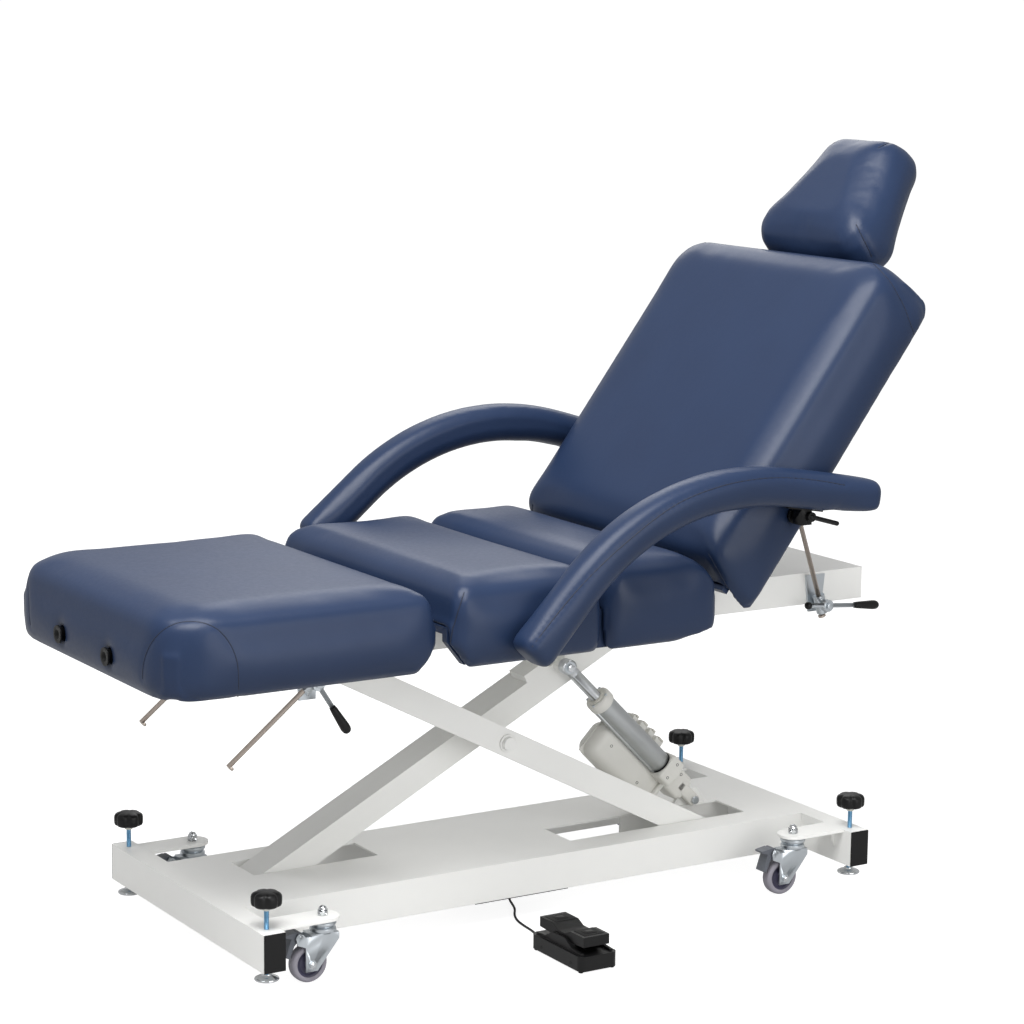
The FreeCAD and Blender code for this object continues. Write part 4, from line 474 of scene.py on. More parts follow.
def linked(name, mesh, made, body, smooth_angle=None):
    """Object of a mesh with one finish, riding on a body."""
    piece = stood(name, mesh)
    mesh.materials.clear()
    mesh.materials.append(made)
    for face in mesh.polygons:
        face.use_smooth = True
    if smooth_angle is not None:
        mesh.set_sharp_from_angle(angle=smooth_angle)
    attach(piece, body)
    return piece


def merged_copy(node):
    """Bmesh of a node's surface with its loose triangles joined."""
    shape = bmesh.new()
    shape.from_mesh(NODES[node].data)
    bmesh.ops.remove_doubles(shape, verts=shape.verts, dist=0.02 * MM)
    return shape


def islands(shape):
    """Separate solids of a bmesh, as lists of its vertices, the shortest list first."""
    seen = set()
    found = []
    for seed in shape.verts:
        if seed in seen:
            continue
        seen.add(seed)
        group = [seed]
        # The list grows while it is walked, until the solid has no new vertex.
        for vert in group:
            for edge in vert.link_edges:
                other = edge.other_vert(vert)
                if other not in seen:
                    seen.add(other)
                    group.append(other)
        found.append(group)
    return sorted(found, key=len)


def trim(shape, cuts):
    """Cut a closed bmesh along planes, each a point and the way that falls off, and close it again."""
    for place, way in cuts:
        everything = shape.verts[:] + shape.edges[:] + shape.faces[:]
        bmesh.ops.bisect_plane(shape, geom=everything, plane_co=place, plane_no=way, clear_outer=True)
        bmesh.ops.holes_fill(shape, edges=[edge for edge in shape.edges if edge.is_boundary], sides=0)


def split(node, pick, keep_solid=None, shaped=None):
    """A node's solids as new pieces; pick gives the name and finish of each from its corners."""
    shape = merged_copy(node)
    if shaped:
        shaped(shape)
    pieces = []
    for group in islands(shape):
        places = [vert.co for vert in group]
        low = Vector([min(p[i] for p in places) for i in range(3)])
        high = Vector([max(p[i] for p in places) for i in range(3)])
        if keep_solid and not keep_solid((low + high) / 2):
            continue
        name, made = pick(low, high)
        lone = shape.copy()
        lone.verts.ensure_lookup_table()
        keep = {vert.index for vert in group}
        bmesh.ops.delete(lone, geom=[v for v in lone.verts if v.index not in keep], context="VERTS")
        pieces.append(linked(name, mesh_from(name, lone), made, BODY_OF[node], SHARP_EDGE))
    shape.free()
    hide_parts(node)
    return pieces


def spun(profile, steps=48):
    """Bmesh turned about Z from points of radius and height."""
    shape = bmesh.new()
    verts = [shape.verts.new((radius, 0.0, height)) for radius, height in profile]
    edges = [shape.edges.new(pair) for pair in zip(verts, verts[1:])]
    bmesh.ops.spin(shape, geom=verts + edges, cent=(0, 0, 0), axis=(0, 0, 1), angle=math.tau, steps=steps,
                   use_merge=True)
    bmesh.ops.remove_doubles(shape, verts=shape.verts, dist=0.01 * MM)
    bmesh.ops.recalc_face_normals(shape, faces=shape.faces)
    return shape


def placed(name, shape, matrix, made, body, smooth_angle=SHARP_EDGE):
    """Piece from a bmesh, moved by a matrix into the frame."""
    bmesh.ops.transform(shape, matrix=matrix, verts=shape.verts)
    return linked(name, mesh_from(name, shape), made, body, smooth_angle)


def along(start, direction):
    """Matrix that sets a piece made along Z at a start, pointing in a direction."""
    return Matrix.Translation(start) @ direction.to_track_quat("Z", "Y").to_matrix().to_4x4()


def rounded_block(name, low, high, radius, matrix, made, body, segments=4):
    """Box between two corners with all its edges rounded."""
    shape = bmesh.new()
    bmesh.ops.create_cube(shape, size=1.0)
    low = Vector(low) * MM
    high = Vector(high) * MM
    bmesh.ops.scale(shape, vec=high - low, verts=shape.verts)
    bmesh.ops.translate(shape, vec=(low + high) / 2, verts=shape.verts)
    bmesh.ops.bevel(shape, geom=shape.edges[:], affect="EDGES", offset=radius * MM, segments=segments,
                    profile=0.5, material=-1, clamp_overlap=True)
    return placed(name, shape, matrix, made, body, BLOCK_EDGE)


def turned(name, profile, matrix, made, body, steps=48):
    """Piece turned about Z from a profile in millimetres."""
    return placed(name, spun([(r * MM, h * MM) for r, h in profile], steps), matrix, made, body)


def hexagon(name, radius, height, matrix, made, body):
    """Chamfered hexagon nut or bolt head standing on Z."""
    shape = bmesh.new()
    bmesh.ops.create_cone(shape, cap_ends=True, segments=6, radius1=radius * MM, radius2=radius * MM,
                          depth=height * MM)
    bmesh.ops.translate(shape, vec=(0, 0, height / 2 * MM), verts=shape.verts)
    bmesh.ops.bevel(shape, geom=shape.edges[:], affect="EDGES", offset=0.7 * MM, segments=2, profile=0.5,
                    material=-1)
    return placed(name, shape, matrix, made, body, NUT_EDGE)


def softened(node, made, width):
    """Copy of a hard node with its edges rounded, in the node's place."""
    shape = merged_copy(node)
    bmesh.ops.dissolve_limit(shape, angle_limit=math.radians(1), verts=shape.verts, edges=shape.edges)
    name = node + "_soft"
    piece = linked(name, mesh_from(name, shape), made, BODY_OF[node], SHARP_EDGE)
    edge = piece.modifiers.new("edges", "BEVEL")
    edge.width = width * MM
    edge.segments = 3
    edge.limit_method = "ANGLE"
    edge.angle_limit = SHARP_EDGE
    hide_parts(node)


def star_knob(name, place, radius, height, body):
    """Six-lobed knob with a shallow dome, standing on a place."""
    shape = bmesh.new()
    ring = bmesh.ops.create_circle(shape, cap_ends=True, segments=120, radius=radius * MM)["verts"]
    for vert in ring:
        turn = math.atan2(vert.co.y, vert.co.x)
        notch = ((1 + math.cos(KNOB_LOBES * turn)) / 2) ** 3
        vert.co *= 1 - KNOB_NOTCH * notch
    loop = shape.edges[:]
    levels = ((0.80, 0.0), (0.94, 0.08), (0.99, 0.2), (1.0, 0.36), (1.0, 0.62), (0.975, 0.74), (0.91, 0.84),
              (0.78, 0.92), (0.56, 0.97), (0.3, 1.0))
    bmesh.ops.scale(shape, vec=(levels[0][0], levels[0][0], 1), verts=ring)
    for (before, under), (share, over) in zip(levels, levels[1:]):
        made = bmesh.ops.extrude_edge_only(shape, edges=loop)["geom"]
        verts = [item for item in made if isinstance(item, bmesh.types.BMVert)]
        loop = [item for item in made if isinstance(item, bmesh.types.BMEdge)]
        loop = [edge for edge in loop if all(vert in verts for vert in edge.verts)]
        bmesh.ops.scale(shape, vec=(share / before, share / before, 1), verts=verts)
        bmesh.ops.translate(shape, vec=(0, 0, (over - under) * height * MM), verts=verts)
    bmesh.ops.edgeloop_fill(shape, edges=loop)
    bmesh.ops.recalc_face_normals(shape, faces=shape.faces)
    placed(name, shape, Matrix.Translation(place), black_plastic(), body, KNOB_EDGE)


# Camera
def view_axes():
    """Right, up and forward of the photograph's camera."""
    stage = bpy.context.scene.facial_bed_stage
    flat = Vector((math.sin(stage.yaw), math.cos(stage.yaw), 0))
    forward = flat * math.cos(stage.pitch) - Vector((0, 0, math.sin(stage.pitch)))
    level = Vector((math.cos(stage.yaw), -math.sin(stage.yaw), 0))
    up = level.cross(forward)
    right = level * math.cos(stage.roll) + up * math.sin(stage.roll)
    return right, up * math.cos(stage.roll) - level * math.sin(stage.roll), forward


def pixel_ray(pixel):
    """Direction from the camera through a pixel of the photograph."""
    right, up, forward = view_axes()
    focal = bpy.context.scene.facial_bed_stage.focal
    across = pixel[0] - IMAGE_SIDE / 2
    down = pixel[1] - IMAGE_SIDE / 2
    return (forward * focal + right * across - up * down).normalized()


# Soft pieces
def simulated(mesh, held, settings):
    """How far each vertex moves when a closed cloth is filled: held ones stay, none passes the swell."""
    start = [vert.co.copy() for vert in mesh.vertices]
    piece = stood("filling", mesh)
    pins = piece.vertex_groups.new(name="held")
    pins.add(held, 1.0, "REPLACE")
    cloth = piece.modifiers.new("filling", "CLOTH")
    cloth.settings.vertex_group_mass = "held"
    cloth.settings.use_pressure = True
    cloth.settings.uniform_pressure_force = settings.pressure
    cloth.settings.effector_weights.gravity = 0
    cloth.settings.quality = CLOTH_QUALITY
    cloth.settings.tension_stiffness = CLOTH_STIFFNESS
    cloth.settings.compression_stiffness = CLOTH_STIFFNESS
    cloth.collision_settings.use_collision = False
    scene = bpy.context.scene
    for step in range(1, settings.steps + 1):
        scene.frame_set(step)
    result = applied(piece)
    for vert, origin in zip(result.vertices, start):
        move = vert.co - origin
        vert.co = move * min(1.0, settings.swell / max(move.length, settings.swell))
    scene.frame_set(1)
    return result


def grid_copy(node, voxel, shaped):
    """Even mesh over a node's solid, once that is shaped."""
    shape = merged_copy(node)
    if shaped:
        shaped(shape)
    piece = stood(node + "_grid", mesh_from(node + "_grid", shape))
    remesh = piece.modifiers.new("grid", "REMESH")
    remesh.mode = "VOXEL"
    remesh.voxel_size = voxel
    return applied(piece)


def flat_point(point):
    """Where a point of the tilted back lies when the back is flat."""
    return Matrix.Rotation(BACK_TILT, 3, "Y") @ (point - HINGE) + HINGE


def tilted_point(point):
    """Where a point of the flat back lies when the back is tilted."""
    return Matrix.Rotation(-BACK_TILT, 3, "Y") @ (point - HINGE) + HINGE


def eased(mesh, held, rounds):
    """Mesh with all but its held vertices smoothed."""
    piece = stood("eased", mesh)
    loose = piece.vertex_groups.new(name="loose")
    loose.add(range(len(mesh.vertices)), 1.0, "REPLACE")
    loose.remove(held)
    smooth = piece.modifiers.new("ease", "SMOOTH")
    smooth.factor = 0.5
    smooth.iterations = rounds
    smooth.vertex_group = "loose"
    return applied(piece)


def padded_piece(node, name, voxel, inside, rounds=20, padding=None, clear=0.0, shaped=None):
    """Upholstered piece in place of a node: drawn in, filled by simulation, eased and divided once."""
    settings = sizes()
    mesh = grid_copy(node, voxel, shaped)
    held = [vert.index for vert in mesh.vertices if inside(vert.co)]
    kept = set(held)
    mesh = eased(mesh, held, rounds)
    normals = [vert.normal.copy() for vert in mesh.vertices]
    if padding:
        for vert, normal in zip(mesh.vertices, normals):
            vert.co += padding(vert.co, normal)
    start = [vert.co.copy() for vert in mesh.vertices]
    for vert, normal in zip(mesh.vertices, normals):
        if vert.index not in kept:
            vert.co -= normal * settings.draw_in
            start[vert.index] -= normal * settings.draw_in
    moves = simulated(mesh, held, settings)
    creased = [vert.co.copy() for vert in moves.vertices]
    calm = eased(moves, held, CALM_ROUNDS)
    for vert, origin, rough, move in zip(mesh.vertices, start, creased, calm.vertices):
        vert.co = origin + move.co + (rough - move.co) * settings.crease
    mesh = eased(mesh, held, LAST_ROUNDS)
    for vert in mesh.vertices:
        if abs(vert.co.y) < clear:
            vert.co.y = math.copysign(clear, vert.co.y)
    piece = linked(name, mesh, vinyl(), BODY_OF[node])
    divide = piece.modifiers.new("soft", "SUBSURF")
    divide.levels = 1
    divide.render_levels = 1
    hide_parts(node)
    return piece


def seam_curve(name, points, body):
    """Sewn seam along points of a cushion's surface."""
    curve = bpy.data.curves.new(name, "CURVE")
    curve.dimensions = "3D"
    curve.bevel_depth = sizes().seam
    curve.bevel_resolution = 2
    line = curve.splines.new("POLY")
    line.points.add(len(points) - 1)
    for spot, point in zip(line.points, points):
        spot.co = (*point, 1.0)
    curve.materials.append(seam_welt_painted_shade())
    piece = stood(name, curve)
    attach(piece, body)


def seam_points(pixels, tree, count=60):
    """Points of a pixel line on a surface, spaced evenly along it."""
    eye = Vector(bpy.context.scene.facial_bed_stage.eye)
    spans = list(zip(pixels, pixels[1:]))
    found = []
    for number in range(count + 1):
        along = number / count * len(spans)
        index = min(int(along), len(spans) - 1)
        part = along - index
        first, last = spans[index]
        pixel = [a + (b - a) * part for a, b in zip(first, last)]
        hit = tree.ray_cast(eye, pixel_ray(pixel))[0]
        if hit:
            found.append(hit)
    return smooth_line(found)


def smooth_line(points, rounds=6):
    """Points with the corners of their line eased."""
    for turn in range(rounds):
        middle = [(a + b * 2 + c) / 4 for a, b, c in zip(points, points[1:], points[2:])]
        points = points[:1] + middle + points[-1:]
    return points


def surface_of(piece):
    """Search tree over a piece's own mesh."""
    shape = bmesh.new()
    shape.from_mesh(piece.data)
    tree = BVHTree.FromBMesh(shape)
    shape.free()
    return tree


def sew(piece, name, lines):
    """Seams on a piece: each line pulls the skin into a shallow valley and is drawn as a welt in it."""
    settings = sizes()
    spots = [point for line in lines for point in line]
    nearest = KDTree(len(spots))
    for number, point in enumerate(spots):
        nearest.insert(point, number)
    nearest.balance()
    for vert in piece.data.vertices:
        gap = nearest.find(vert.co)[2]
        if gap < settings.seam_reach:
            share = 1 - gap / settings.seam_reach
            vert.co -= vert.normal * settings.seam_dip * share * share
    tree = surface_of(piece)
    for number, line in enumerate(lines):
        laid = smooth_line([tree.find_nearest(point)[0] for point in line], 2)
        seam_curve(f"{name}_{number}", laid, piece["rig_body"])


def ramp(value, span):
    """Share of a span that a value has passed."""
    return min(1.0, max(0.0, (value - span[0]) / (span[1] - span[0])))


def nowhere(point):
    """No point is held: the pad is free all round."""
    return False


def mirrored_line(points):
    """The same line on the other side of the bed."""
    return [Vector((p.x, -p.y, p.z)) for p in points]


def tuck_foot(shape):
    """Draw in the foot corners of the leg's tray and slope its hinge end."""
    low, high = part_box("leg_panel")
    for vert in shape.verts:
        if vert.co.x < low.x + TUCK_REACH and abs(vert.co.y) > high.y - TUCK_REACH:
            vert.co += Vector((TUCK, -math.copysign(TUCK, vert.co.y), 0))
    slope_leg(shape)


def tuck_head(shape):
    """Draw in the head corners of the back's tray."""
    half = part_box("back_panel")[1].y
    for vert in shape.verts:
        flat = flat_point(vert.co)
        if flat.x - HINGE.x > BACK_TRAY_END - TUCK_REACH and abs(flat.y) > half - TUCK_REACH:
            flat += Vector((-TUCK, -math.copysign(TUCK, flat.y), 0))
            vert.co = tilted_point(flat)


def fill_corner(shape, centre, way, radius, low, high, place):
    """Foam in a rounded corner, out beyond the tray: part of a tapered post, set by a point map."""
    post = bmesh.new()
    bmesh.ops.create_cone(post, cap_ends=True, segments=64, radius1=radius - CORNER_TAPER, radius2=radius,
                          depth=high - low)
    bmesh.ops.translate(post, vec=(*centre, (low + high) / 2), verts=post.verts)
    trim(post, ((Vector((*centre, 0)) + way * CORNER_INSIDE, -way),))
    for vert in post.verts:
        vert.co = place(vert.co)
    mesh = mesh_from("corner", post)
    shape.from_mesh(mesh)
    bpy.data.meshes.remove(mesh)


def fill_foot(shape):
    """Close the leg cushion's foot corners round its tray and slope its hinge end."""
    low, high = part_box("leg_cushion")
    for side in (-1, 1):
        centre = (low.x + FOOT_CENTRE, side * (high.y - FOOT_CENTRE))
        fill_corner(shape, centre, Vector((-1, side, 0)).normalized(), FOOT_CORNER, low.z + CORNER_RISE,
                    low.z + CORNER_TOP, Vector)
    slope_leg(shape)


def fill_head(shape):
    """Close the back cushion's head corners round its tray."""
    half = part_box("back_cushion")[1].y
    skirt = HINGE.z + BACK_SKIRT
    for side in (-1, 1):
        centre = (HINGE.x + BACK_END - HEAD_CENTRE, side * (half - HEAD_CENTRE))
        fill_corner(shape, centre, Vector((1, side, 0)).normalized(), HEAD_CORNER, skirt + CORNER_RISE,
                    skirt + CORNER_TOP, tilted_point)


def slope_leg(shape):
    """Slope the lower edge at the leg's hinge end."""
    low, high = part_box("leg_cushion")
    way = Vector((HINGE_RISE, 0, -HINGE_RUN)).normalized()
    trim(shape, ((Vector((high.x - HINGE_RUN, 0, low.z)), way),))


def slope_seat(shape):
    """Slope the lower edges at the thigh's front and the seat's rear."""
    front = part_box("thigh_cushion")[0]
    rear = Vector((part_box("seat_cushion")[1].x, 0, front.z))
    way = Vector((-HINGE_RISE, 0, -HINGE_RUN)).normalized()
    heel = Vector((HEEL_RISE, 0, -HEEL_RUN)).normalized()
    trim(shape, ((Vector((front.x + HINGE_RUN, 0, front.z)), way), (rear - Vector((HEEL_RUN, 0, 0)), heel)))


class FACIALBED_OT_stage(bpy.types.Operator):
    """Floor, light and the photograph's camera"""

    bl_idname = "facialbed.stage"
    bl_label = "Stage"

    def execute(self, context):
        """Build the stage."""
        stage = context.scene.facial_bed_stage
        right, up, forward = view_axes()
        lens = bpy.data.cameras.new("camera")
        lens.sensor_width = SENSOR_WIDTH
        lens.lens = stage.focal / IMAGE_SIDE * lens.sensor_width
        lens.clip_end = VIEW_DEPTH
        camera = stood("camera", lens)
        turn = Matrix((right, up, -forward)).transposed().to_4x4()
        camera.matrix_world = Matrix.Translation(Vector(stage.eye)) @ turn
        context.scene.camera = camera

        shape = bmesh.new()
        bmesh.ops.create_grid(shape, x_segments=2, y_segments=2, size=FLOOR_REACH)
        floor = stood("floor", mesh_from("floor", shape))
        floor.data.materials.append(studio_floor())

        for name, place, side, power in LIGHTS:
            lamp = bpy.data.lights.new(name, "AREA")
            lamp.size = side
            lamp.energy = power
            turn = (LIGHT_AIM - Vector(place)).to_track_quat("-Z", "Y").to_matrix().to_4x4()
            stood(name, lamp).matrix_world = Matrix.Translation(Vector(place)) @ turn
        world = bpy.data.worlds.new("studio")
        world.use_nodes = True
        tree = world.node_tree
        seen = add(tree, "ShaderNodeLightPath")
        sky = tree.nodes["Background"]
        sky.inputs["Color"].default_value = (1.0, 1.0, 1.0, 1.0)
        add(tree, "ShaderNodeMapRange", {"Value": seen.outputs["Is Camera Ray"], "To Min": 0.5,
                                         "To Max": 1.02}, {"Result": sky.inputs["Strength"]})
        context.scene.world = world
        context.scene.view_settings.view_transform = "Standard"
        return {"FINISHED"}


class FACIALBED_OT_lead(bpy.types.Operator):
    """Pedal lead from the control box over the floor"""

    bl_idname = "facialbed.lead"
    bl_label = "Pedal lead"

    def execute(self, context):
        """Lay the lead on its route."""
        curve = bpy.data.curves.new("pedal_lead", "CURVE")
        curve.dimensions = "3D"
        curve.bevel_depth = sizes().lead / 2
        curve.bevel_resolution = 4
        line = curve.splines.new("NURBS")
        line.points.add(len(LEAD_ROUTE) - 1)
        for spot, point in zip(line.points, LEAD_ROUTE):
            spot.co = (*[value * MM for value in point], 1.0)
        line.order_u = 3
        line.use_endpoint_u = True
        line.resolution_u = 12
        curve.use_fill_caps = True
        curve.materials.append(moulded("lead_pvc", "#17181A", 0.5, 1.0))
        lead = stood("pedal_lead", curve)
        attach(lead, "base")
        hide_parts("pedal_cord")
        return {"FINISHED"}


class FACIALBED_OT_solids(bpy.types.Operator):
    """Finishes of the frame, its fittings and the lock rods"""

    bl_idname = "facialbed.solids"
    bl_label = "Frame finishes"

    def execute(self, context):
        """Finish the coated solids in place; the rest become smooth-shaded copies, and the rods get beads."""
        made = finishes()
        for key, nodes in FINISH_OF.items():
            for node in nodes:
                if key == "powder_coat":
                    mesh = NODES[node].data
                    mesh.materials.clear()
                    mesh.materials.append(made[key])
                else:
                    split(node, lambda low, high: (node + "_part", made[key]))
        bead = ((0, 0), (6.4, 0), (7.4, 0.8), (7.6, 2.4), (7.4, 4.6), (6.4, 5.4), (0, 5.4))
        for node in ("leg_rods", "back_rods"):
            for piece in split(node, lambda low, high: (node + "_part", made["nickel"])):
                places = sorted((vert.co for vert in piece.data.vertices), key=lambda place: place.z)
                foot, top = [sum(group, Vector()) / len(group) for group in (places[:8], places[-8:])]
                turned(piece.name + "_bead", bead, along(foot, (top - foot).normalized()), made["nickel"],
                       BODY_OF[node], 32)
        return {"FINISHED"}


class FACIALBED_OT_trays(bpy.types.Operator):
    """Boards under the cushions: vinyl round their sides, lining cloth below, zinc hinge leaves"""

    bl_idname = "facialbed.trays"
    bl_label = "Boards"

    def execute(self, context):
        """Split boards from metal and give each its finish."""
        for node, shaped in (("leg_panel", tuck_foot), ("seat_panel", slope_seat), ("back_panel", tuck_head)):
            pieces = split(node, lambda low, high: (node + "_board", vinyl())
                           if (high - low).length > BOARD_LEAST else (node + "_metal", zinc()), shaped=shaped)
            below = Vector((0, 0, -1))
            if node == "back_panel":
                below = Matrix.Rotation(-BACK_TILT, 3, "Y") @ below
            for piece in pieces:
                if "board" in piece.name:
                    piece.data.materials.append(lining())
                    for face in piece.data.polygons:
                        face.material_index = int(face.normal.dot(below) > FACING_DOWN)
        return {"FINISHED"}


class FACIALBED_OT_levers(bpy.types.Operator):
    """Release levers: zinc bars with tapered black grips"""

    bl_idname = "facialbed.levers"
    bl_label = "Release levers"

    def execute(self, context):
        """Keep each bar and turn its grip."""
        grip = ((0, 0), (5.8, 0), (6.8, 0.8), (7.2, 2.5), (8.2, 18), (9.3, 36), (9.9, 46), (9.8, 52),
                (8.6, 57.5), (6.0, 60.8), (2.6, 62), (0, 62))
        ferrule = ((0, -3), (6.4, -3), (6.6, -2.4), (6.6, 0.5), (0, 0.5))
        cap = ((0, 0), (5.6, 0), (7.0, 1.0), (8.0, 4.0), (8.2, 7.0), (7.2, 10.5), (4.6, 13.0), (0, 14))
        bar_over = 10
        cap_lap = 6
        near = Vector((0, -1, 0))
        hub_half = 8
        # Each lever's angle above the level in degrees, then where its grip and its tail cap start.
        for node, tilt, reach, tail in (("leg_lever", -57, 62, 0), ("back_lever", -5, 78, 50)):
            body = BODY_OF[node]
            turn = math.radians(tilt)
            way = Vector((math.cos(turn), 0, math.sin(turn)))
            hub = Vector(JOINTS[node + "_turn"]["pos_m"])
            split(node, lambda low, high: (node + "_bar", zinc()),
                  lambda middle: (middle - hub).dot(way) < (reach + bar_over) * MM)
            for name, profile in (("grip", grip), ("ferrule", ferrule)):
                turned(f"{node}_{name}", profile, along(hub + way * reach * MM, way), black_plastic(), body)
            hexagon(node + "_bolt", 7.5, 5, along(hub + near * hub_half * MM, near), zinc(), body)
            if tail:
                end = hub - way * (tail - cap_lap) * MM
                turned(node + "_cap", cap, along(end, -way), black_plastic(), body)
        return {"FINISHED"}


class FACIALBED_OT_screws(bpy.types.Operator):
    """Levelling screws: star knob, white ferrule, blue zinc thread and a chrome foot"""

    bl_idname = "facialbed.screws"
    bl_label = "Levelling screws"

    def execute(self, context):
        """Turn each screw in place of its plain solids."""
        blue = plated("blue_zinc_thread", colours().stem, 0.3, 6)
        sole = ((0, 0), (22.5, 0), (23.6, 0.9), (24, 2.4), (23.2, 4.2), (20, 6.0), (15.5, 7.4), (11.5, 8.8),
                (9.6, 10.4), (9.2, 12.2), (7.0, 13.0), (0, 13.0))
        collar = ((0, -7), (6.2, -7), (7.4, -6.2), (10.6, -1.4), (11.0, 0), (11.0, 2.5), (0, 2.5))
        knob_height = 31
        knob_radius = 30
        knob_lift = 1.5
        thread_start = 12
        root, crest = 4.3, 4.95
        for number in range(1, 5):
            node = f"levelling_screw_{number}"
            body = BODY_OF[node]
            low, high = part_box(node)
            foot = Vector(((low.x + high.x) / 2, (low.y + high.y) / 2, low.z))
            tall = (high.z - low.z) / MM
            knob = tall - knob_height
            thread = [(0, thread_start - 1)]
            rise = thread_start
            while rise < knob:
                # The real pitch is 1.5 mm, drawn at 2.5 mm so that it shows.
                thread += [(root, rise), (crest, rise + 0.8), (crest, rise + 1.5),
                           (root, rise + THREAD_PITCH - 0.2)]
                rise += THREAD_PITCH
            thread.append((0, rise))
            set_at = Matrix.Translation(foot)
            stem = turned(node + "_stem", thread, set_at, blue, body, 24)
            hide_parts(node)
            turned(node + "_foot", sole, set_at, chrome(), body, 64)
            ferrule = [(radius, knob + height) for radius, height in collar]
            turned(node + "_ferrule", ferrule, set_at, nylon(), body)
            star_knob(node + "_knob", foot + Vector((0, 0, (knob + knob_lift) * MM)), knob_radius,
                      knob_height - knob_lift, body)
        return {"FINISHED"}


class FACIALBED_OT_actuator(bpy.types.Operator):
    """Lift actuator: gear case, motor cover, extruded tube, end cap and fasteners"""

    bl_idname = "facialbed.actuator"
    bl_label = "Actuator"

    def execute(self, context):
        """Model the actuator along its own axis."""
        way = Vector(JOINTS["actuator_stroke"]["axis"])
        side = Vector((0, 1, 0))
        out = way.cross(side)
        turn = Matrix((way, side, out)).transposed().to_4x4()
        frame_at = Matrix.Translation(Vector(JOINTS["actuator_tilt"]["pos_m"])) @ turn
        shell = housing_plastic()
        body = "actuator"
        tube_at = -14

        def quarter(axis):
            """Quarter turn about an axis."""
            return Matrix.Rotation(math.pi / 2, 4, axis)

        def block(name, low, high, radius, made=shell, segments=4):
            """Rounded block of the actuator."""
            return rounded_block("actuator_" + name, low, high, radius, frame_at, made, body, segments)

        def spin(name, profile, y, z, made, steps=64):
            """Piece turned about a line along the actuator."""
            line = frame_at @ Matrix.Translation(Vector((0, y, z)) * MM) @ quarter("Y")
            return turned("actuator_" + name, profile, line, made, body, steps)

        def screw(name, x, y, z, radius):
            """Dark recessed screw on the side that faces the near edge."""
            line = frame_at @ Matrix.Translation(Vector((x, y, z)) * MM) @ quarter("X")
            recess = ((0, -4), (radius, -4), (radius, 0.3), (radius * 0.8, 0.5), (radius * 0.7, -1), (0, -1))
            turned("actuator_" + name, recess, line, black_plastic(), body, 24)

        case = block("gear_case", (34, -10, -30), (138, 46, 30), 9)
        block("gear_front", (97, -43, -31), (138, 30, 31), 7)
        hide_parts("actuator_housing")
        block("gear_neck", (-10, -10, -14), (60, 10, 14), 6)
        spin("gear_collar", ((0, 96), (28.5, 96), (30, 98), (30, 136.5), (28.8, 138), (0, 138)), tube_at, 0,
             shell)
        block("gear_step", (28, -8, -24), (70, 30, 24), 7)
        block("gear_side", (86, -10, 4), (100, 46, 97), 6)
        cover = block("motor_cover", (92, -9, 12), (300, 57, 98), 24, shell, 8)
        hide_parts("actuator_motor")
        block("motor_parting", (90.5, 22, 10.5), (301.5, 25, 99.5), 1.4, shell, 2)
        block("motor_tab_a", (150, 14, 96), (162, 30, 103), 2.5)
        block("motor_tab_b", (216, 14, 95), (228, 30, 103), 2.5)
        block("spine", (120, 4, -31), (286, 44, 22), 10)
        spin("spine_end", ((0, 280), (20, 280), (21.5, 286), (21.5, 296), (18, 303), (0, 304)), 24, -8, shell)
        plugs = ((150, -36, 24), (182, -38, 18), (208, -36, 22), (240, -34, 16))
        for number, (x, z, long) in enumerate(plugs):
            block(f"plug_{number}", (x, 2, z - 6), (x + long, 30, z + 8), 3)
            block(f"plug_lip_{number}", (x + 3, 0, z - 9), (x + long - 4, 22, z - 4), 2, nylon(), 2)
        screws = ((118, -43.2, -18), (70, -10.2, -18), (118, -43.2, 18), (150, -9.2, 66), (262, -9.2, 50),
                  (268, 4, -22))
        for number, (x, y, z) in enumerate(screws):
            screw(f"screw_{number}", x, y, z, 3.2)

        tube = spin("tube", ((0, 138), (24.4, 138), (25, 139), (25, 352), (0, 352)), tube_at, 0, aluminium(),
                    96)
        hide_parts("actuator_tube")
        spin("gasket", ((0, 137), (26.4, 137), (26.4, 140.5), (24, 141.5), (0, 141.5)), tube_at, 0,
             black_plastic())
        block("tube_rail", (140, tube_at - 8, 21.5), (352, tube_at + 8, 27), 1.5, aluminium(), 2)
        bore = 13.1
        spin("end_cap", ((bore, 350), (27.5, 350), (28.8, 351.2), (29, 353), (29, 368), (28, 371.5),
                         (25, 374), (19.6, 374.2), (bore, 374.2), (bore, 350)), tube_at, 0, shell, 96)
        spin("guide_ring", ((bore, 373), (18.6, 373), (19, 374), (19, 377), (17.5, 378), (bore, 378),
                            (bore, 373)), tube_at, 0, nylon())
        cap_screw = ((0, 372), (3.0, 372), (3.0, 375), (2.2, 375.6), (0, 375.6))
        screw_spread = 1.03
        for number, (y, z) in enumerate(((-21, -12), (21, 12), (-12, 21), (12, -21))):
            spin(f"cap_screw_{number}", cap_screw, tube_at + y * screw_spread, z * screw_spread, zinc(), 20)
        pin = frame_at @ Matrix.Translation(Vector((0, -9, 0)) * MM) @ quarter("X")
        turned("actuator_foot_pin", ((0, -24), (8, -24), (8, 7), (7.2, 8), (0, 8)), pin, zinc(), body)
        turned("actuator_foot_clip", ((0, 4.4), (9, 4.4), (9.4, 4.8), (9.4, 5.6), (9, 6.1), (0, 6.1)), pin,
               chrome(), body)
        rod_reach = 479.4
        eye_half = 10
        washer = 1.8
        eye = frame_at @ Vector((rod_reach * MM, (tube_at - eye_half) * MM, 0))
        turned("rod_eye_washer", ((0, 0), (13, 0), (13.5, 0.5), (13.5, washer), (0, washer)),
               along(eye, -side), zinc(), "actuator_rod")
        hexagon("rod_eye_bolt", 9, 6, along(eye - side * washer * MM, -side), chrome(), "actuator_rod")
        return {"FINISHED"}


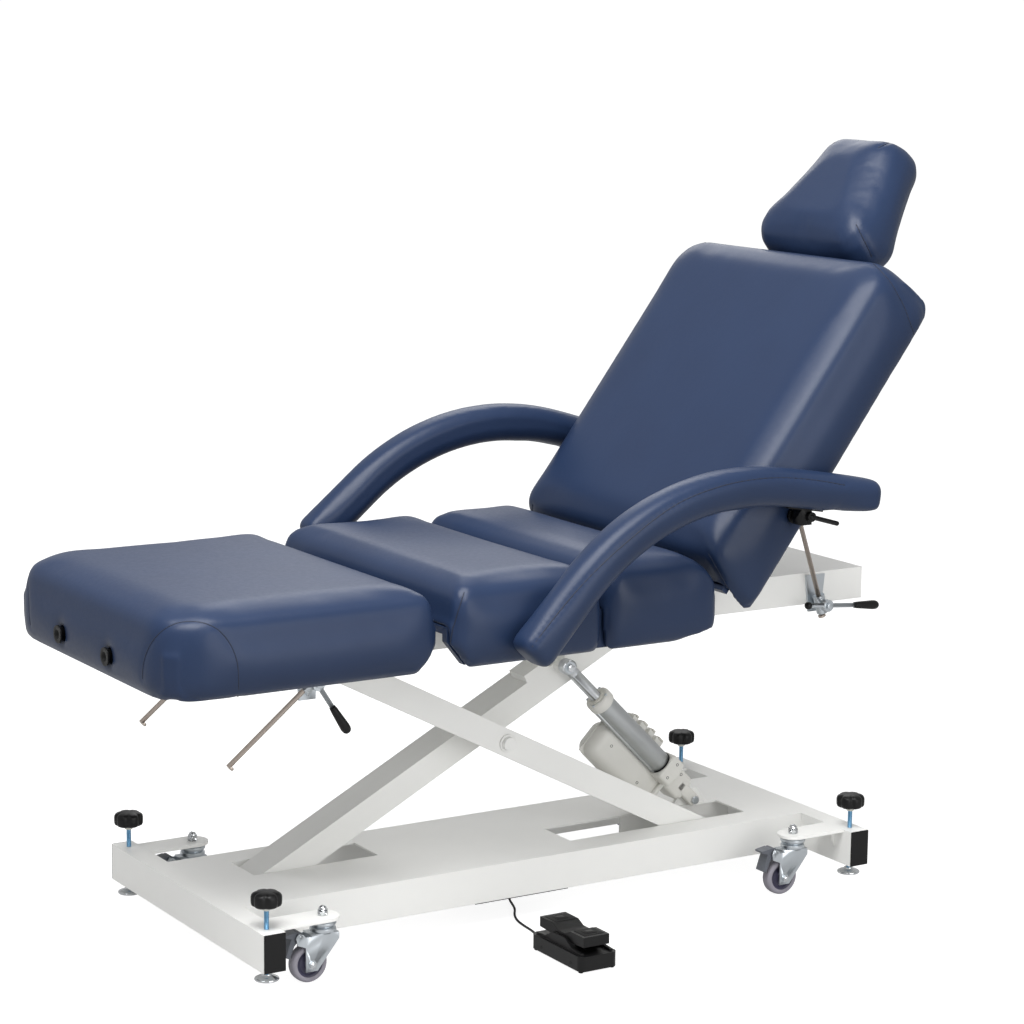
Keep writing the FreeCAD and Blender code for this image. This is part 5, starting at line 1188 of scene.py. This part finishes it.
class FACIALBED_OT_casters(bpy.types.Operator):
    """Caster fittings: swivel races, axle nuts, moulded brake pedals and the crossbars' end caps"""

    bl_idname = "facialbed.casters"
    bl_label = "Caster fittings"

    def execute(self, context):
        """Add races, washers and nuts to each fork, and round its brake pedal and the crossbar caps."""
        grey = moulded("grey_brake_nylon", colours().brake, 0.45, 1.5)
        lower_race = ((0, 97.2), (23.5, 97.2), (25.4, 98.6), (26, 101.5), (25.4, 105), (23, 107.4),
                      (18, 108.6), (0, 108.6))
        upper_race = ((0, 110), (22.5, 110), (25.5, 111), (27, 113.5), (26.6, 117), (23.5, 120), (17, 121.3),
                      (0, 121.3))
        thick = 1.3
        washer = ((0, 0), (9, 0), (9.4, 0.4), (9.4, thick), (0, thick))
        axle_end = ((0, 0), (4.2, 0), (4.2, 7.0), (3.2, 8.2), (0, 8.6))
        cheek = 18.6
        for number in range(1, 5):
            fork = f"caster_{number}"
            swivel = Vector(JOINTS[f"{fork}_swivel"]["pos_m"])
            swivel.z = 0
            axle = Vector(JOINTS[f"wheel_{number}_spin"]["pos_m"])
            for name, profile in (("lower_race", lower_race), ("upper_race", upper_race)):
                turned(f"{fork}_{name}", profile, Matrix.Translation(swivel), zinc(), fork, 64)
            for side in (-1, 1):
                way = Vector((0, side, 0))
                seat = axle + way * cheek * MM
                end = side + 2
                turned(f"{fork}_washer_{end}", washer, along(seat, way), zinc(), fork, 32)
                hexagon(f"{fork}_nut_{end}", 7.4, 5.0, along(seat + way * thick * MM, way), chrome(), fork)
                turned(f"{fork}_end_{end}", axle_end, along(seat, way), chrome(), fork, 24)
            softened(f"caster_brake_{number}", grey, 1.4)
        softened("crossbar_caps", black_plastic(), 1.6)
        return {"FINISHED"}


class FACIALBED_OT_pedal(bpy.types.Operator):
    """Foot pedal: rounded case, rocker with two framed pads, screw wells"""

    bl_idname = "facialbed.pedal"
    bl_label = "Foot pedal"

    def execute(self, context):
        """Round the pedal's solids and add what is moulded on them."""
        case = moulded("pedal_abs", colours().black, 0.36, 1.2, gloss_level=0.28)
        grip = moulded("pedal_rubber", "#0A0A0B", 0.55, 0.9, gloss_level=0.25)
        softened("pedal_base", case, 4)
        softened("pedal_rocker", case, 5)
        low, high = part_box("pedal_rocker")
        middle = (low + high) / 2
        still = Matrix.Identity(4)
        base_low, base_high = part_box("pedal_base")
        pad_spread = 52
        # Each layer's name, half sizes, depth below and rise above the rocker, rounding, finish and segments.
        layers = (
            ("pad", (24, 21), 4, 0.8, 2.0, grip, 4),
            ("pad_frame", (13, 11), 3, 1.6, 0.7, grip, 2),
            ("pad_mark", (8, 6), 2, 2.3, 0.6, case, 2),
        )
        for number, side in enumerate((-1, 1)):
            at = Vector((middle.x, middle.y + side * pad_spread * MM, high.z)) / MM
            for name, half, under, over, rounding, made, segments in layers:
                rounded_block(f"pedal_{name}_{number}", at - Vector((*half, under)),
                              at + Vector((*half, over)), rounding, still, made, "pedal_rocker", segments)
        rubber = ((0, 0), (4.4, 0), (5, 0.8), (5, 6), (0, 6))
        for number, (x, share) in enumerate(((8, 0.06), (8, 0.94), (80, 0.06), (80, 0.94))):
            spot = Vector((base_low.x + x * MM, base_low.y + (base_high.y - base_low.y) * share, 0))
            turned(f"pedal_foot_{number}", rubber, Matrix.Translation(spot), grip, BODY_OF["pedal_base"], 24)
        well = ((0, -3), (3.2, -3), (3.2, 0.35), (2.4, 0.5), (2.1, -1), (0, -1))
        well_height = 15
        for number, share in enumerate((0.2, 0.78)):
            spot = Vector((base_low.x, base_low.y + (base_high.y - base_low.y) * share, well_height * MM))
            turned(f"pedal_well_{number}", well, along(spot, Vector((-1, 0, 0))), grip,
                   BODY_OF["pedal_base"], 24)
        return {"FINISHED"}


class FACIALBED_OT_wheels(bpy.types.Operator):
    """Caster wheels with a grooved tread and a ringed hub"""

    bl_idname = "facialbed.wheels"
    bl_label = "Wheels"

    def execute(self, context):
        """Turn hub and tyre for each caster."""
        tread = moulded("tyre_rubber", colours().tyre, 0.6, 2.0, gloss_level=0.3)
        core = moulded("hub_nylon", colours().hub, 0.45, 2.0)
        # Shares of the wheel's radius and of half its width.
        tyre_shares = ((0.72, -0.86), (0.80, -0.98), (0.88, -1.0), (0.94, -0.9), (0.985, -0.66), (1.0, -0.3),
                       (1.0, 0.3), (0.985, 0.66), (0.94, 0.9), (0.88, 1.0), (0.80, 0.98), (0.72, 0.86),
                       (0.72, -0.86))
        hub_shares = ((0.14, -0.8), (0.30, -0.8), (0.33, -0.62), (0.56, -0.5), (0.62, -0.72), (0.66, -0.78),
                      (0.72, -0.86), (0.72, 0.86), (0.66, 0.78), (0.62, 0.72), (0.56, 0.5), (0.33, 0.62),
                      (0.30, 0.8), (0.14, 0.8), (0.14, -0.8))
        for number in range(1, 5):
            node = f"caster_wheel_{number}"
            low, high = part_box(node)
            radius = (high.z - low.z) / 2
            half = (high.y - low.y) / 2
            turn = Matrix.Translation((low + high) / 2) @ Matrix.Rotation(math.radians(90), 4, "X")
            for name, shares, made in (("tyre", tyre_shares, tread), ("hub", hub_shares, core)):
                shape = spun([(r * radius, h * half) for r, h in shares])
                placed(f"{node}_{name}", shape, turn, made, BODY_OF[node])
            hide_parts(node)
        return {"FINISHED"}


class FACIALBED_OT_cushions(bpy.types.Operator):
    """Upholstered leg, thigh, seat, back and head cushions with their seams"""

    bl_idname = "facialbed.cushions"
    bl_label = "Cushions"

    def execute(self, context):
        """Fill and sew each cushion."""
        settings = sizes()
        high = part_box("seat_panel")[1]
        lip = 1.5 * settings.voxel

        def in_tray(point):
            """Whether a point is on the pocket that holds the tray."""
            return abs(point.y) < high.y + lip and point.z < high.z + lip and point.x > LEG_TRAY_END - lip

        def in_back_tray(point):
            """The same for the tilted back."""
            flat = flat_point(point)
            return in_tray(flat) and flat.x < HINGE.x + BACK_TRAY_END + lip

        def cushion(node, name, inside, shaped, rounds=20):
            """Cushion in place of a node, on the coarser grid."""
            return padded_piece(node, name, settings.voxel, inside, rounds, shaped=shaped)

        leg = cushion("leg_cushion", "leg_pad", in_tray, fill_foot)
        thigh = cushion("thigh_cushion", "thigh_pad", in_tray, slope_seat, FLAT_ROUNDS)
        cushion("seat_cushion", "seat_pad", in_tray, slope_seat, FLAT_ROUNDS)
        back = cushion("back_cushion", "back_pad", in_back_tray, fill_head)
        head = padded_piece("headrest_cushion", "head_pad", settings.pad_voxel, nowhere)
        seams = ((leg, ("leg_corner",)), (thigh, ("thigh_corner",)), (back, ("back_dart", "back_corner")),
                 (head, ("head_side", "head_top")))
        for piece, names in seams:
            tree = surface_of(piece)
            lines = [seam_points(SEAM_PIXELS[name], tree) for name in names]
            lines += [mirrored_line(line) for line in lines]
            sew(piece, piece.name + "_seam", [line for line in lines if len(line) > 3])
        return {"FINISHED"}


class FACIALBED_OT_armrests(bpy.types.Operator):
    """Arched armrest pads with the seam along their outer edge"""

    bl_idname = "facialbed.armrests"
    bl_label = "Armrests"

    def execute(self, context):
        """Fill and sew both armrests."""
        inner = -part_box("armrest_near")[1].y

        def padding(point, normal):
            """Padding over the solid, but none towards the bed, and a shallow hollow over the lever."""
            push = normal * sizes().arm_proud
            if push.y * point.y < 0:
                push.y = 0
            if push.z < 0:
                push.z *= 1 - ramp(point.x, LEVER_ROOM)
                push.z -= normal.z * LEVER_RELIEF * ramp(point.x, LEVER_HOLLOW)
            return push

        near, far = [padded_piece(f"armrest_{side}", f"armrest_pad_{side}", sizes().pad_voxel, nowhere,
                                  ARM_ROUNDS, padding, inner) for side in ("near", "far")]
        line = seam_points(SEAM_PIXELS["armrest"], surface_of(near))
        pivot = Vector((ARM_PIVOT.x, 0, ARM_PIVOT.z))
        lift = Matrix.Rotation(FAR_ARM_LIFT, 3, "Y")
        other = [lift @ (point - pivot) + pivot for point in mirrored_line(line)]
        sew(near, "armrest_near_seam", [line])
        sew(far, "armrest_far_seam", [other])
        return {"FINISHED"}


class FACIALBED_PT_panel(bpy.types.Panel):
    """Buttons for the bed's pieces"""

    bl_idname = "FACIALBED_PT_panel"
    bl_label = "Facial bed"
    bl_space_type = "VIEW_3D"
    bl_region_type = "UI"
    bl_category = "Facial bed"

    def draw(self, context):
        """List the operators and settings."""
        for operator in OPERATORS:
            self.layout.operator(operator.bl_idname)
        scene = context.scene
        for group in (scene.facial_bed_colours, scene.facial_bed_sizes, scene.facial_bed_stage):
            for name in group.__annotations__:
                self.layout.prop(group, name)


OPERATORS = (
    FACIALBED_OT_stage,
    FACIALBED_OT_lead,
    FACIALBED_OT_solids,
    FACIALBED_OT_trays,
    FACIALBED_OT_levers,
    FACIALBED_OT_screws,
    FACIALBED_OT_actuator,
    FACIALBED_OT_casters,
    FACIALBED_OT_pedal,
    FACIALBED_OT_wheels,
    FACIALBED_OT_cushions,
    FACIALBED_OT_armrests,
)
GROUPS = (FacialBedColours, FacialBedSizes, FacialBedStage)
CLASSES = GROUPS + OPERATORS + (FACIALBED_PT_panel,)


def register():
    """Add the classes and the scene's settings."""
    for item in CLASSES:
        bpy.utils.register_class(item)
    bpy.types.Scene.facial_bed_colours = bpy.props.PointerProperty(type=FacialBedColours)
    bpy.types.Scene.facial_bed_sizes = bpy.props.PointerProperty(type=FacialBedSizes)
    bpy.types.Scene.facial_bed_stage = bpy.props.PointerProperty(type=FacialBedStage)


def unregister():
    """Remove them again."""
    del bpy.types.Scene.facial_bed_stage
    del bpy.types.Scene.facial_bed_sizes
    del bpy.types.Scene.facial_bed_colours
    for item in reversed(CLASSES):
        bpy.utils.unregister_class(item)


def main():
    """Dress the bed."""
    register()
    bpy.ops.facialbed.stage()
    bpy.ops.facialbed.lead()
    bpy.ops.facialbed.solids()
    bpy.ops.facialbed.trays()
    bpy.ops.facialbed.levers()
    bpy.ops.facialbed.screws()
    bpy.ops.facialbed.actuator()
    bpy.ops.facialbed.casters()
    bpy.ops.facialbed.pedal()
    bpy.ops.facialbed.wheels()
    bpy.ops.facialbed.cushions()
    bpy.ops.facialbed.armrests()


if __name__ == "__main__":
    main()
